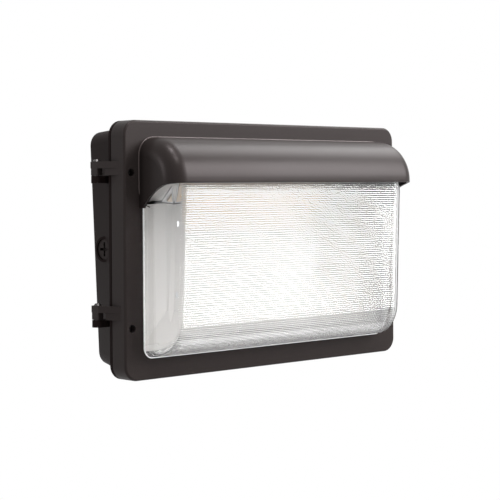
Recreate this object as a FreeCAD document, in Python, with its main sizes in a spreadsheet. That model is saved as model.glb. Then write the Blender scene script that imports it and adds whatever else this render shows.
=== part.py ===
"""Wall pack light: a cast housing on the wall, a side-hinged door with visor and ribbed lens.

Frame: the wall is the plane Y = 0, the light faces -Y, +X is to the viewer's right, +Z is up.
The origin is on the wall, behind the middle of the door. Lengths are in millimetres.
"""
import FreeCAD, Part
import Sketcher
import math
import os

DOC = FreeCAD.newDocument("wall_pack_light")
SHEET = DOC.addObject("Spreadsheet::Sheet", "Sizes")
VECTOR = FreeCAD.Vector
PIECES = {}

SIZES = [
    # overall form
    ("door_width", 361, "outer width of the door frame and of the housing flange"),
    ("door_height", 235, "outer height of the door frame and of the housing flange"),
    ("door_radius", 14, "corner radius of the door frame"),
    ("door_depth", 18.7, "depth of the door frame from its rear rim to its face"),
    ("door_skin", 3.5, "wall thickness of the door casting"),
    ("door_edge_round", 2.2, "rounding of the door's front edge"),
    ("seam_gap", 0.8, "gap between housing flange and door rim, taken up by the gasket"),
    ("flange_thick", 3, "thickness of the housing flange"),
    ("box_depth", 48.5, "depth of the housing box behind its flange"),
    ("housing_wall", 3.2, "wall thickness of the housing casting"),
    ("housing_floor", 4.5, "thickness of the housing's back"),
    ("box_side_inset", 4.5, "flange overhang at the sides"),
    ("box_top_inset", 6.5, "flange overhang at the top"),
    ("box_base_inset", 6, "flange overhang at the bottom"),
    ("back_top_inset", 15.7, "side inset of the housing's back at its top corners"),
    ("back_low_inset", 25, "side inset of the housing's back at its bottom corners"),
    ("back_draft", 2, "extra inset of the back at top and bottom"),
    ("box_radius", 13, "corner radius of the housing box"),
    ("lip_inset", 17, "width of the sealing face inside the flange edge"),
    ("lip_thick", 5, "thickness of the sealing face"),
    ("mouth_round", 10, "corner radius of the housing's mouth"),
    ("groove_inset", 10.4, "flange edge to gasket groove"),
    ("groove_width", 4.2, "width of the gasket groove"),
    ("groove_round", 11, "outer corner radius of the gasket groove"),
    ("gasket_play", 0.1, "play of the door gasket in its groove"),
    ("groove_depth", 2.2, "depth of the gasket groove"),
    # lens and its opening
    ("lens_side_inset", 22, "door edge to lens side"),
    ("lens_base_inset", 20.5, "door edge to lens bottom"),
    ("lens_top_inset", 31, "door edge to lens top"),
    ("opening_gap", 1.2, "gap round the lens in the door opening"),
    ("rib_inset", 10.6, "door edge to the rib that presses the gasket"),
    ("rib_width", 2.4, "width of the rib that presses the gasket"),
    ("lens_depth", 42, "how far the lens stands out of the door near its top"),
    ("lens_lean", 2.6, "lean of the lens front, in degrees"),
    ("lens_side_draft", 12, "draft of the lens ends, in degrees"),
    ("lens_low_round", 34, "rounding of the lens front into its bottom"),
    ("lens_top_round", 34, "rounding of the lens front into its top"),
    ("lens_end_round", 9, "rounding of the lens ends"),
    ("lens_wall", 3.6, "wall thickness of the lens"),
    ("rim_reach", 3, "width of the lens rim behind the door face"),
    ("rim_thick", 3, "thickness of the lens rim"),
    ("lens_seal_thick", 1.2, "thickness of the lens gasket"),
    # visor
    ("visor_side_inset", 17, "door edge to visor end"),
    ("visor_top_inset", 15.5, "door edge to visor top"),
    ("visor_depth", 47, "how far the visor stands out of the door"),
    ("visor_height", 41.5, "visor top to its front edge"),
    ("visor_cheek", 64, "visor top to the foot of its cheeks"),
    ("visor_round", 40, "rounding of the visor's front"),
    ("visor_end_round", 17, "rounding of the visor's ends"),
    ("visor_skin", 3, "wall thickness of the visor casting"),
    ("visor_foot", 5, "width of a cheek at its foot"),
    ("cheek_round", 52, "rounding of the cheek's lower edge"),
    ("cheek_share", 0.45, "share of the visor's depth at which its cheeks begin"),
    ("cheek_drop", 1.6, "fall of the hood's foot before its cheeks begin"),
    ("bevel_share", 0.6, "size of an inside bevel in place of a rounding of radius 1"),
    # hinges
    ("pin_offset", 4.8, "door edge to hinge pin, outwards"),
    ("pin_setback", 34, "door face to hinge pin"),
    ("pin_radius", 2.5, "radius of a hinge pin"),
    ("pin_head_radius", 3.6, "radius of a hinge pin's head"),
    ("pin_head_rise", 1.8, "height of a hinge pin's head"),
    ("pin_crown_radius", 2.2, "radius of the flat on a hinge pin's head"),
    ("pin_play", 0.05, "radial play of a knuckle on its pin"),
    ("pin_gap", 0.2, "gap between a pin's head and its knuckle"),
    ("knuckle_long", 10, "length of a knuckle block along Y"),
    ("knuckle_half", 3.2, "half the width of a knuckle block"),
    ("knuckle_tall", 12.6, "height of a knuckle block"),
    ("knuckle_round", 1, "corner radius of a knuckle block"),
    ("arm_tall", 6.2, "height of the arm that carries a knuckle"),
    ("arm_clear", 0.5, "gap between a hinge arm and the housing flange"),
    ("web_front", 3, "door face to the front of the web under a hinge arm"),
    ("web_reach", 4.4, "how far the web stands out of the door"),
    ("web_back", 4, "how far the web reaches behind the door"),
    ("lug_tall", 6.6, "height of a housing lug"),
    ("lug_round", 5, "half the length of a housing lug along Y"),
    ("lug_tip_round", 4.9, "corner radius of a housing lug's tip"),
    ("hinge_gap", 0.4, "gap between knuckle and lug"),
    ("upper_hinge", 67.8, "height of the upper knuckle's foot above the middle"),
    ("lower_hinge", -62.7, "height of the lower knuckle's foot above the middle"),
    # door screws
    ("screw_inset", 8.2, "door edge to door screw"),
    ("screw_height", 70, "door screws above and below the middle"),
    ("screw_well", 3.65, "radius of the well over a door screw"),
    ("screw_head", 3.3, "radius of a door screw head"),
    ("screw_head_tall", 3, "height of a door screw head"),
    ("screw_thread", 2, "radius of a door screw thread"),
    ("screw_neck", 1.5, "radius of a door screw neck"),
    ("neck_end", 0.5, "door rear to the thread of a screw that is backed off"),
    ("recess_long", 4.3, "length of the cross in a door screw"),
    ("recess_wide", 1, "width of the cross in a door screw"),
    ("recess_deep", 1.4, "depth of the cross in a door screw"),
    ("screw_floor", 3.5, "thickness of the boss under a door screw"),
    ("screw_travel", 6, "travel of a door screw between backed off and driven home"),
    ("screw_play", 0.15, "radial play of a door screw in its boss"),
    ("screw_boss", 5.2, "radius of a door screw boss"),
    ("anchor_boss", 4, "radius of a screw boss behind the housing flange"),
    ("anchor_deep", 7.5, "length of a screw boss behind the housing flange"),
    ("anchor_floor", 1.5, "metal left behind a door screw's hole"),
    # wiring entries
    ("entry_back", 26, "wall to the middle of a side entry"),
    ("entry_boss", 11.8, "outer radius of a side entry boss"),
    ("entry_bore", 9.6, "radius of a side entry's threaded hole"),
    ("entry_proud", 1.2, "how far a side entry boss stands out of the housing"),
    ("entry_long", 14, "length of a side entry's threaded hole"),
    ("plug_sink", 1.2, "how far a plug sits below its boss"),
    ("plug_long", 9, "length of a closure plug"),
    ("plug_play", 0.1, "radial play of a closure plug"),
    ("plug_slot", 2.4, "width of the cross in a plug"),
    ("plug_slot_long", 13, "length of the cross in a plug"),
    ("plug_slot_deep", 3, "depth of the cross in a plug"),
    ("rear_bore", 11.1, "radius of the rear wiring hole"),
    ("seal_outer", 58, "half the outer width of the square wall gasket"),
    ("seal_width", 9, "width of the wall gasket's band"),
    ("seal_corner", 12, "outer corner radius of the wall gasket"),
    ("seal_thick", 2, "thickness of the wall gasket when pressed"),
    ("strap_spacing", 83.3, "spacing of the junction box screws"),
    ("strap_hole", 2.4, "radius of a junction box screw hole"),
    ("wall_span_wide", 240, "spacing of the wall screws across"),
    ("wall_span_tall", 150, "spacing of the wall screws up"),
    ("wall_hole", 3.25, "radius of a wall screw hole"),
    ("wall_boss", 8, "radius of a wall screw boss"),
    ("wall_boss_tall", 4, "height of a wall screw boss above the floor"),
    # light engine
    ("tray_back", 31, "wall to the back panel of the reflector"),
    ("tray_front", 59, "wall to the front edges of the reflector"),
    ("tray_wide", 195, "width of the reflector's back panel"),
    ("tray_low", -62, "foot of the reflector's back panel"),
    ("tray_top", 41, "top of the reflector"),
    ("tray_gap", 9, "lens outline to the reflector's front edge"),
    ("tray_skin", 1, "thickness of the reflector sheet"),
    ("plate_thick", 2.5, "thickness of the bracket that carries the light board"),
    ("plate_wide", 206, "width of the bracket"),
    ("plate_tilt", 45, "tilt of the light board, in degrees"),
    ("plate_long", 44, "length of the bracket's tilted face"),
    ("plate_foot", 18, "height of the bracket's foot on the housing"),
    ("shelf_gap", 1, "gap between the bracket and the reflector"),
    ("plate_screw_rise", 12, "foot of the bracket to its screws"),
    ("board_wide", 196, "width of the light board"),
    ("board_long", 38, "length of the light board"),
    ("board_thick", 1.6, "thickness of the light board"),
    ("led_size", 3, "side of a light source"),
    ("led_tall", 0.8, "height of a light source"),
    ("led_pitch", 9.2, "spacing of the light sources along a row"),
    ("led_row", 11, "spacing of the rows of light sources"),
    ("led_count", 20, "light sources in a row"),
    ("led_rows", 3, "rows of light sources"),
    ("post_span", 176, "spacing of the reflector posts"),
    ("post_radius", 4.5, "radius of a reflector post"),
    ("post_low", -46, "height of the lower posts"),
    ("post_high", 22, "height of the upper posts"),
    ("small_screw", 1.6, "radius of a small machine screw"),
    ("stud_hole", 1.1, "size of a cored hole for each millimetre of its screw"),
    ("small_head", 3, "radius of a small machine screw head"),
    ("small_head_tall", 1.8, "height of a small machine screw head"),
    ("small_long", 8, "length of a small machine screw"),
    ("small_boss_tall", 4, "height of a small screw boss above the housing's floor"),
    ("small_hole_deep", 7, "depth of the cored hole in a small boss"),
    ("plate_screw_x", 68, "bracket screws left and right of the middle"),
    ("driver_wide", 146, "length of the driver case"),
    ("driver_tall", 50, "height of the driver case"),
    ("driver_deep", 20, "thickness of the driver case"),
    ("driver_x", -3, "middle of the driver across"),
    ("driver_z", -49, "middle of the driver up"),
    ("driver_ear", 10, "length of a driver mounting ear"),
    ("driver_ear_thick", 2, "thickness of a driver mounting ear"),
    ("block_wide", 34, "length of the terminal block"),
    ("block_tall", 17, "height of the terminal block"),
    ("block_deep", 14, "thickness of the terminal block"),
    ("way_pitch", 10.6, "spacing of the ways in the terminal block"),
    ("way_radius", 2.2, "half the width of a way in the terminal block"),
    ("way_deep", 5, "depth of a way in the terminal block"),
    ("way_screw_tall", 3, "height of a terminal screw in its way"),
    ("block_x", 62, "middle of the terminal block across"),
    ("block_z", 12, "middle of the terminal block up"),
    ("ground_head", 4, "radius of the earth screw's head"),
    ("ground_long", 6, "length of the earth screw"),
    ("ground_x", -62, "earth screw across"),
    ("ground_z", 12, "earth screw up"),
    ("clamp_wide", 26, "width of a lens clamp"),
    ("clamp_long", 8, "length of a lens clamp"),
    ("clamp_thick", 1.5, "thickness of a lens clamp"),
    ("clamp_boss", 2.1, "radius of the boss under a lens clamp"),
    ("clamp_gap", 0.2, "gap between a clamp boss and the lens rim"),
    ("clamp_screw", 1.25, "radius of a clamp screw"),
    ("clamp_grip", 4, "length of a clamp screw in its boss"),
    ("clamp_head", 1.6, "height of a clamp screw's head"),
    ("visor_boss", 3.5, "radius of a screw boss in the visor"),
    ("visor_boss_long", 9, "length of a screw boss in the visor"),
    ("visor_tap_deep", 7, "depth of the cored hole in a visor boss"),
    ("visor_screw_span", 120, "outer visor screws left and right of the middle"),
    ("clamp_across", 90, "top and bottom clamps left and right of the middle"),
    # modelling aids
    ("overlap", 1, "how far a pad starts inside its body or a cut ends outside it"),
    ("hair", 0.01, "least amount by which a cut passes a face"),
]


def fill_sheet():
    """Write every driving size into the sheet, one row each, with its alias."""
    for row, (alias, value, meaning) in enumerate(SIZES, start=1):
        SHEET.set("A%d" % row, meaning)
        SHEET.set("B%d" % row, str(value))
        SHEET.setAlias("B%d" % row, alias)
    DOC.recompute()


def sizes(expression):
    """Put the sheet's name before every alias in an expression."""
    words = []
    word = ""
    for letter in str(expression) + " ":
        if letter.isalnum() or letter == "_":
            word += letter
            continue
        if word in ALIASES:
            word = "Sizes." + word
        words.append(word + letter)
        word = ""
    return "".join(words).strip()


ALIASES = {alias for alias, value, meaning in SIZES}
FLATS = 8  # sides of a small boss, cored hole or screw shank
HEX = 6  # sides of a small screw head
CLOSE = 1e-4  # distance under which two places count as the same


def number(expression):
    """Value of an expression of sheet sizes."""
    return float(SHEET.evalExpression(sizes(expression)))


def new_body(label):
    """An empty body with its own label."""
    body = DOC.addObject("PartDesign::Body", label)
    body.Label = label
    return body


def new_sketch(body, name, role, offset="0"):
    """A sketch on one of the body's origin planes, moved along the plane's normal."""
    sketch = body.newObject("Sketcher::SketchObject", name)
    plane = next(item for item in body.Origin.OriginFeatures if item.Role == role)
    sketch.AttachmentSupport = [(plane, "")]
    sketch.MapMode = "FlatFace"
    sketch.setExpression("AttachmentOffset.Base.z", sizes(offset))
    return sketch


def bind(sketch, constraint, expression):
    """Add a constraint whose value follows an expression."""
    index = sketch.addConstraint(constraint)
    sketch.setExpression("Constraints[%d]" % index, sizes(expression))


def add_polygon(sketch, corners):
    """Closed outline through corners (x, z, radius), each an expression; radius 0 is sharp."""
    count = len(corners)
    points = [VECTOR(number(x), number(z), 0) for x, z, radius in corners]
    starts = []
    ends = []
    turns = []
    for index, (x, z, radius) in enumerate(corners):
        point = points[index]
        size = number(radius)
        back = (points[index - 1] - point).normalize()
        ahead = (points[(index + 1) % count] - point).normalize()
        if size == 0:
            starts.append(point)
            ends.append(point)
            turns.append(None)
            continue
        angle = back.getAngle(ahead)
        reach = size / math.tan(angle / 2)
        middle = point + (back + ahead).normalize() * (size / math.sin(angle / 2))
        starts.append(point + back * reach)
        ends.append(point + ahead * reach)
        turns.append((middle, size, (ahead.cross(back)).z > 0))
    lines = []
    for index in range(count):
        segment = Part.LineSegment(ends[index], starts[(index + 1) % count])
        lines.append(sketch.addGeometry(segment))
    for index, (x, z, radius) in enumerate(corners):
        before = lines[index - 1]
        after = lines[index]
        if turns[index] is None:
            sketch.addConstraint(Sketcher.Constraint("Coincident", before, 2, after, 1))
            bind(sketch, Sketcher.Constraint("DistanceX", -1, 1, after, 1, points[index].x), x)
            bind(sketch, Sketcher.Constraint("DistanceY", -1, 1, after, 1, points[index].y), z)
            continue
        middle, size, left_turn = turns[index]
        first, last = starts[index], ends[index]
        if not left_turn:
            first, last = last, first
        start_angle = math.atan2(first.y - middle.y, first.x - middle.x)
        end_angle = math.atan2(last.y - middle.y, last.x - middle.x)
        circle = Part.Circle(middle, VECTOR(0, 0, 1), size)
        arc = sketch.addGeometry(Part.ArcOfCircle(circle, start_angle, end_angle))
        near, far = (1, 2) if left_turn else (2, 1)
        sketch.addConstraint(Sketcher.Constraint("Tangent", before, 2, arc, near))
        sketch.addConstraint(Sketcher.Constraint("Tangent", after, 1, arc, far))
        bind(sketch, Sketcher.Constraint("Radius", arc, size), radius)
        apex = sketch.addGeometry(Part.Point(points[index]), True)
        sketch.addConstraint(Sketcher.Constraint("PointOnObject", apex, 1, before))
        sketch.addConstraint(Sketcher.Constraint("PointOnObject", apex, 1, after))
        bind(sketch, Sketcher.Constraint("DistanceX", -1, 1, apex, 1, points[index].x), x)
        bind(sketch, Sketcher.Constraint("DistanceY", -1, 1, apex, 1, points[index].y), z)


def add_circle(sketch, x, z, radius):
    """A full circle at (x, z)."""
    middle = VECTOR(number(x), number(z), 0)
    circle = sketch.addGeometry(Part.Circle(middle, VECTOR(0, 0, 1), number(radius)))
    bind(sketch, Sketcher.Constraint("Radius", circle, number(radius)), radius)
    bind(sketch, Sketcher.Constraint("DistanceX", -1, 1, circle, 3, middle.x), x)
    bind(sketch, Sketcher.Constraint("DistanceY", -1, 1, circle, 3, middle.y), z)


def add_flats(sketch, x, z, radius):
    """An eight-sided outline round (x, z) for a small boss or cored hole; radius is to its flats."""
    reach = 1 / math.cos(math.pi / FLATS)
    corners = []
    for index in range(FLATS):
        angle = (2 * index + 1) * math.pi / FLATS
        corners.append(("%s + (%s) * %.6f" % (x, radius, reach * math.cos(angle)),
                        "%s + (%s) * %.6f" % (z, radius, reach * math.sin(angle)), "0"))
    add_polygon(sketch, corners)


def add_frame(sketch, left, right, low, high, radius):
    """A rectangle with rounded corners."""
    add_polygon(sketch, [(left, low, radius), (right, low, radius),
                         (right, high, radius), (left, high, radius)])


def volume_of(feature):
    """Volume of a feature after a recompute."""
    DOC.recompute()
    return feature.Shape.Volume


def add_pad(body, name, sketch, length, backwards=False, middle=False):
    """Extrude a sketch and check that the body grew."""
    before = volume_of(body) if body.Tip else 0
    pad = body.newObject("PartDesign::Pad", name)
    pad.Profile = sketch
    pad.setExpression("Length", sizes(length))
    pad.Reversed = backwards
    pad.Midplane = middle
    sketch.Visibility = False
    if volume_of(pad) <= before:
        raise ValueError("%s adds nothing" % name)
    return pad


def add_pocket(body, name, sketch, length, backwards=False, middle=False):
    """Cut a sketch out of the body and check that the body shrank."""
    before = volume_of(body)
    pocket = body.newObject("PartDesign::Pocket", name)
    pocket.Profile = sketch
    pocket.setExpression("Length", sizes(length))
    pocket.Reversed = backwards
    pocket.Midplane = middle
    sketch.Visibility = False
    if not 0 < volume_of(pocket) < before:
        raise ValueError("%s cuts nothing" % name)
    return pocket


def add_fillet(body, name, wanted, radius):
    """Round every edge of the body's tip for which wanted(edge) is true."""
    DOC.recompute()
    tip = body.Tip
    edges = ["Edge%d" % (index + 1) for index, edge in enumerate(tip.Shape.Edges) if wanted(edge)]
    fillet = body.newObject("PartDesign::Fillet", name)
    fillet.Base = (tip, edges)
    fillet.setExpression("Radius", sizes(radius))
    return fillet


def add_chamfer(body, name, wanted, size):
    """Bevel every edge of the body's tip for which wanted(edge) is true."""
    DOC.recompute()
    tip = body.Tip
    edges = ["Edge%d" % (index + 1) for index, edge in enumerate(tip.Shape.Edges) if wanted(edge)]
    chamfer = body.newObject("PartDesign::Chamfer", name)
    chamfer.Base = (tip, edges)
    chamfer.setExpression("Size", sizes(size))
    return chamfer


def place(item, x, y, z, axis=None):
    """Bind an object's position; its own Z turns to the given axis."""
    if axis:
        turn = FreeCAD.Rotation(VECTOR(0, 0, 1), VECTOR(*axis))
        item.Placement = FreeCAD.Placement(VECTOR(0, 0, 0), turn)
    item.setExpression("Placement.Base.x", sizes(x))
    item.setExpression("Placement.Base.y", sizes(y))
    item.setExpression("Placement.Base.z", sizes(z))
    return item


def make_box(name, x, y, z, wide, deep, tall):
    """A box centred on x and z that runs from y towards -Y."""
    item = DOC.addObject("Part::Box", name)
    item.setExpression("Length", sizes(wide))
    item.setExpression("Width", sizes(deep))
    item.setExpression("Height", sizes(tall))
    return place(item, "%s - (%s) / 2" % (x, wide), "%s - (%s)" % (y, deep), "%s - (%s) / 2" % (z, tall))


def make_rod(name, x, y, z, radius, length, axis=(0, -1, 0)):
    """A cylinder from (x, y, z) along an axis."""
    item = DOC.addObject("Part::Cylinder", name)
    item.setExpression("Radius", sizes(radius))
    item.setExpression("Height", sizes(length))
    return place(item, x, y, z, axis)


def make_stud(name, x, y, z, radius, length, axis=(0, -1, 0), sides=FLATS):
    """A many-sided bar from (x, y, z) along an axis; radius is to its corners."""
    item = DOC.addObject("Part::Prism", name)
    item.Polygon = sides
    item.setExpression("Circumradius", sizes(radius))
    item.setExpression("Height", sizes(length))
    return place(item, x, y, z, axis)


def join(name, items):
    """One solid from several."""
    item = DOC.addObject("Part::MultiFuse", name)
    item.Shapes = items
    item.Refine = True
    return item


def gather(name, items):
    """Several loose solids kept as one piece."""
    item = DOC.addObject("Part::Compound", name)
    item.Links = items
    return item


def cut_out(name, base, tools):
    """Base less every tool."""
    item = DOC.addObject("Part::Cut", name)
    item.Base = base
    item.Tool = tools[0] if len(tools) == 1 else join(name + "_tools", tools)
    item.Refine = True
    return item


def keep(label, item):
    """Name a finished sub-part."""
    item.Label = label
    PIECES[label] = item


# ---------------------------------------------------------------- shared places

FLANGE_FRONT = "(box_depth + flange_thick)"
DOOR_REAR = "(%s + seam_gap)" % FLANGE_FRONT
DOOR_FACE = "(%s + door_depth)" % DOOR_REAR
HALF_WIDE = "door_width / 2"
HALF_TALL = "door_height / 2"
PIN_X = "(0 - %s - pin_offset)" % HALF_WIDE
PIN_Y = "(0 - %s + pin_setback)" % DOOR_FACE
LENS_SIDE = "(%s - lens_side_inset)" % HALF_WIDE
LENS_LOW = "(0 - %s + lens_base_inset)" % HALF_TALL
LENS_HIGH = "(%s - lens_top_inset)" % HALF_TALL
SKIN_REAR = "(%s - door_skin)" % DOOR_FACE
LENS_SEAT = "(%s - lens_seal_thick)" % SKIN_REAR
RIM_REAR = "(%s - rim_thick)" % LENS_SEAT
VISOR_END = "(%s - visor_side_inset)" % HALF_WIDE
VISOR_TOP = "(%s - visor_top_inset)" % HALF_TALL
VISOR_SCREW_Z = "(%s - visor_boss)" % VISOR_TOP
VISOR_SCREWS = ("0 - visor_screw_span", "0", "visor_screw_span")
HINGES = (("upper", "upper_hinge"), ("lower", "lower_hinge"))
SCREW_X = "(%s - screw_inset)" % HALF_WIDE
DRIVER_SEAT = "(housing_floor + small_boss_tall)"
DRIVER_SCREWS = tuple("driver_x + %d * (driver_wide - driver_ear) / 2" % side for side in (-1, 1))
PLATE_LOW_Z = "(tray_top + shelf_gap)"
PLATE_SCREW_Z = "(%s + plate_screw_rise)" % PLATE_LOW_Z


def frame_at(sketch, inset, radius):
    """The door's outline moved inwards."""
    add_frame(sketch, "0 - %s + %s" % (HALF_WIDE, inset), "%s - %s" % (HALF_WIDE, inset),
              "0 - %s + %s" % (HALF_TALL, inset), "%s - %s" % (HALF_TALL, inset), radius)


def seal_frame(sketch, inset, radius):
    """The wall gasket's outline moved inwards."""
    half = "(seal_outer - %s)" % inset
    add_frame(sketch, "0 - " + half, half, "0 - " + half, half, radius)


def box_section(body, name, offset, low_side, top_side, low, top, wall, radius):
    """Rounded section of the housing box: side insets at its foot and top, then its ends."""
    sketch = new_sketch(body, name, "XZ_Plane", offset)
    add_polygon(sketch, [
        ("0 - %s + %s + %s" % (HALF_WIDE, low_side, wall), "0 - %s + %s + %s" % (HALF_TALL, low, wall), radius),
        ("%s - %s - %s" % (HALF_WIDE, low_side, wall), "0 - %s + %s + %s" % (HALF_TALL, low, wall), radius),
        ("%s - %s - %s" % (HALF_WIDE, top_side, wall), "%s - %s - %s" % (HALF_TALL, top, wall), radius),
        ("0 - %s + %s + %s" % (HALF_WIDE, top_side, wall), "%s - %s - %s" % (HALF_TALL, top, wall), radius),
    ])
    return sketch


def box_loft(body, kind, name, front, back, wall, radius):
    """Loft between the box's section behind the flange and its section at the back."""
    first = box_section(body, name + "_front", front, "box_side_inset", "box_side_inset",
                        "box_base_inset", "box_top_inset", wall, radius)
    last = box_section(body, name + "_back", back, "back_low_inset", "back_top_inset",
                       "(box_base_inset + back_draft)", "(box_top_inset + back_draft)", wall, radius)
    loft = body.newObject(kind, name)
    loft.Profile = first
    loft.Sections = [last]
    loft.Ruled = True
    first.Visibility = False
    last.Visibility = False
    return loft


def entry_x(side):
    """Outer end of a side entry boss, on the housing's drafted side."""
    depth = "(box_depth - entry_back) / box_depth"
    mean = "((back_low_inset + back_top_inset) / 2)"
    inset = "(box_side_inset + (%s - box_side_inset) * %s)" % (mean, depth)
    return "%d * (%s - %s + entry_proud)" % (side, HALF_WIDE, inset)


BASE_ENTRY_Z = "(0 - %s + box_base_inset + back_draft / 2 - entry_proud)" % HALF_TALL


def housing():
    """Cast back box with flange, gasket groove, posts, lugs, screw bosses and wiring entries."""
    body = new_body("housing_cast")
    box_loft(body, "PartDesign::AdditiveLoft", "box", "box_depth", "0", "0", "box_radius")
    flange = new_sketch(body, "flange_outline", "XZ_Plane", "box_depth")
    frame_at(flange, "0", "door_radius")
    add_pad(body, "flange", flange, "flange_thick")
    for side, mark in ((-1, "left"), (1, "right")):
        boss = new_sketch(body, mark + "_entry_outline", "YZ_Plane", entry_x(side))
        add_circle(boss, "0 - entry_back", "0", "entry_boss")
        add_pad(body, mark + "_entry_boss", boss, "entry_long", backwards=side > 0)
    boss = new_sketch(body, "base_entry_outline", "XY_Plane", BASE_ENTRY_Z)
    add_circle(boss, "0", "0 - entry_back", "entry_boss")
    add_pad(body, "base_entry_boss", boss, "entry_long")
    anchors = new_sketch(body, "anchor_outline", "XZ_Plane", FLANGE_FRONT)
    for x_sign in ("0 - ", ""):
        for z_sign in ("0 - ", ""):
            add_flats(anchors, x_sign + SCREW_X, z_sign + "screw_height", "anchor_boss")
    add_pad(body, "anchor_bosses", anchors, "anchor_deep", backwards=True)
    for mark, foot in HINGES:
        lug = new_sketch(body, mark + "_lug_outline", "XY_Plane", "%s - hinge_gap - lug_tall" % foot)
        root = "(0 - %s + back_low_inset)" % HALF_WIDE
        near = "(%s - lug_round)" % PIN_Y
        far = "(%s + lug_round)" % PIN_Y
        tip = "(%s - lug_round)" % PIN_X
        add_polygon(lug, [(tip, near, "lug_tip_round"), (root, near, "0"),
                          (root, far, "0"), (tip, far, "lug_tip_round")])
        add_pad(body, mark + "_lug", lug, "lug_tall")
    DOC.recompute()
    before = body.Tip.Shape.Volume
    box_loft(body, "PartDesign::SubtractiveLoft", "cavity", "%s - lip_thick" % FLANGE_FRONT,
             "housing_floor", "housing_wall", "box_radius - housing_wall")
    if not volume_of(body) < before:
        raise ValueError("the cavity cuts nothing")
    mouth = new_sketch(body, "mouth_outline", "XZ_Plane", FLANGE_FRONT)
    frame_at(mouth, "lip_inset", "mouth_round")
    add_pocket(body, "mouth", mouth, "lip_thick + overlap")
    groove = new_sketch(body, "groove_outline", "XZ_Plane", FLANGE_FRONT)
    frame_at(groove, "groove_inset", "groove_round")
    frame_at(groove, "(groove_inset + groove_width)", "groove_round - groove_width")
    add_pocket(body, "gasket_groove", groove, "groove_depth")
    return body


def housing_posts(body):
    """Inner ends of the entry bosses, reflector posts and screw bosses, then every hole."""
    for side, mark in ((-1, "left"), (1, "right")):
        boss = new_sketch(body, mark + "_entry_inner", "YZ_Plane", entry_x(side))
        add_circle(boss, "0 - entry_back", "0", "entry_boss")
        add_pad(body, mark + "_entry_collar", boss, "entry_long", backwards=side > 0)
    boss = new_sketch(body, "base_entry_inner", "XY_Plane", BASE_ENTRY_Z)
    add_circle(boss, "0", "0 - entry_back", "entry_boss")
    add_pad(body, "base_entry_collar", boss, "entry_long")
    posts = new_sketch(body, "post_outline", "XZ_Plane", "housing_floor - overlap")
    for x_sign in ("0 - ", ""):
        for height in ("post_low", "post_high"):
            add_flats(posts, x_sign + "post_span / 2", height, "post_radius")
    add_pad(body, "posts", posts, "tray_back - tray_skin - housing_floor + overlap")
    pads = new_sketch(body, "wall_boss_outline", "XZ_Plane", "housing_floor - overlap")
    for x_sign in ("0 - ", ""):
        for z_sign in ("0 - ", ""):
            add_flats(pads, x_sign + "wall_span_wide / 2", z_sign + "wall_span_tall / 2", "wall_boss")
    add_pad(body, "wall_bosses", pads, "wall_boss_tall + overlap")
    feet = new_sketch(body, "small_boss_outline", "XZ_Plane", "housing_floor - overlap")
    add_flats(feet, "ground_x", "ground_z", "post_radius")
    for x_sign in ("0 - ", ""):
        add_flats(feet, x_sign + "plate_screw_x", PLATE_SCREW_Z, "post_radius")
    for x in DRIVER_SCREWS:
        add_flats(feet, x, "driver_z", "post_radius")
    add_pad(body, "small_bosses", feet, "small_boss_tall + overlap")
    holes = new_sketch(body, "wall_hole_outline", "XZ_Plane", "0")
    for x_sign in ("0 - ", ""):
        for z_sign in ("0 - ", ""):
            add_circle(holes, x_sign + "wall_span_wide / 2", z_sign + "wall_span_tall / 2", "wall_hole")
        add_circle(holes, x_sign + "strap_spacing / 2", "0", "strap_hole")
    add_circle(holes, "0", "0", "rear_bore")
    add_pocket(body, "wall_holes", holes, "housing_floor + wall_boss_tall + overlap", backwards=True)
    recess = new_sketch(body, "seal_recess_outline", "XZ_Plane", "0")
    seal_frame(recess, "0", "seal_corner")
    seal_frame(recess, "seal_width", "seal_corner - seal_width")
    add_pocket(body, "seal_recess", recess, "seal_thick", backwards=True)
    taps = new_sketch(body, "anchor_hole_outline", "XZ_Plane", FLANGE_FRONT)
    for x_sign in ("0 - ", ""):
        for z_sign in ("0 - ", ""):
            add_flats(taps, x_sign + SCREW_X, z_sign + "screw_height", "screw_thread + screw_play")
    add_pocket(body, "anchor_holes", taps, "anchor_deep - anchor_floor")
    taps = new_sketch(body, "post_hole_outline", "XZ_Plane", "tray_back - tray_skin")
    for x_sign in ("0 - ", ""):
        for height in ("post_low", "post_high"):
            add_flats(taps, x_sign + "post_span / 2", height, "small_screw")
    add_pocket(body, "post_holes", taps, "small_long + overlap")
    taps = new_sketch(body, "small_hole_outline", "XZ_Plane", "housing_floor + small_boss_tall")
    add_flats(taps, "ground_x", "ground_z", "small_screw")
    for x_sign in ("0 - ", ""):
        add_flats(taps, x_sign + "plate_screw_x", PLATE_SCREW_Z, "small_screw")
    for x in DRIVER_SCREWS:
        add_flats(taps, x, "driver_z", "small_screw")
    add_pocket(body, "small_holes", taps, "small_hole_deep")
    for side, mark in ((-1, "left"), (1, "right")):
        bore = new_sketch(body, mark + "_entry_bore", "YZ_Plane", entry_x(side))
        add_circle(bore, "0 - entry_back", "0", "entry_bore")
        add_pocket(body, mark + "_entry_hole", bore, "2 * (entry_long + overlap)", middle=True)
    bore = new_sketch(body, "base_entry_bore", "XY_Plane", BASE_ENTRY_Z)
    add_circle(bore, "0", "0 - entry_back", "entry_bore")
    add_pocket(body, "base_entry_hole", bore, "2 * (entry_long + overlap)", middle=True)
    for mark, foot in HINGES:
        bore = new_sketch(body, mark + "_lug_bore", "XY_Plane", "%s - hinge_gap" % foot)
        add_circle(bore, PIN_X, PIN_Y, "pin_radius")
        add_pocket(body, mark + "_lug_hole", bore, "lug_tall")
    keep("rear_housing", body)


# ---------------------------------------------------------------- door

def lens_window(sketch, grow, radius):
    """The lens outline at the door, moved outwards."""
    add_frame(sketch, "0 - %s - %s" % (LENS_SIDE, grow), "%s + %s" % (LENS_SIDE, grow),
              "%s - %s" % (LENS_LOW, grow), "%s + %s" % (LENS_HIGH, grow), radius)


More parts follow.
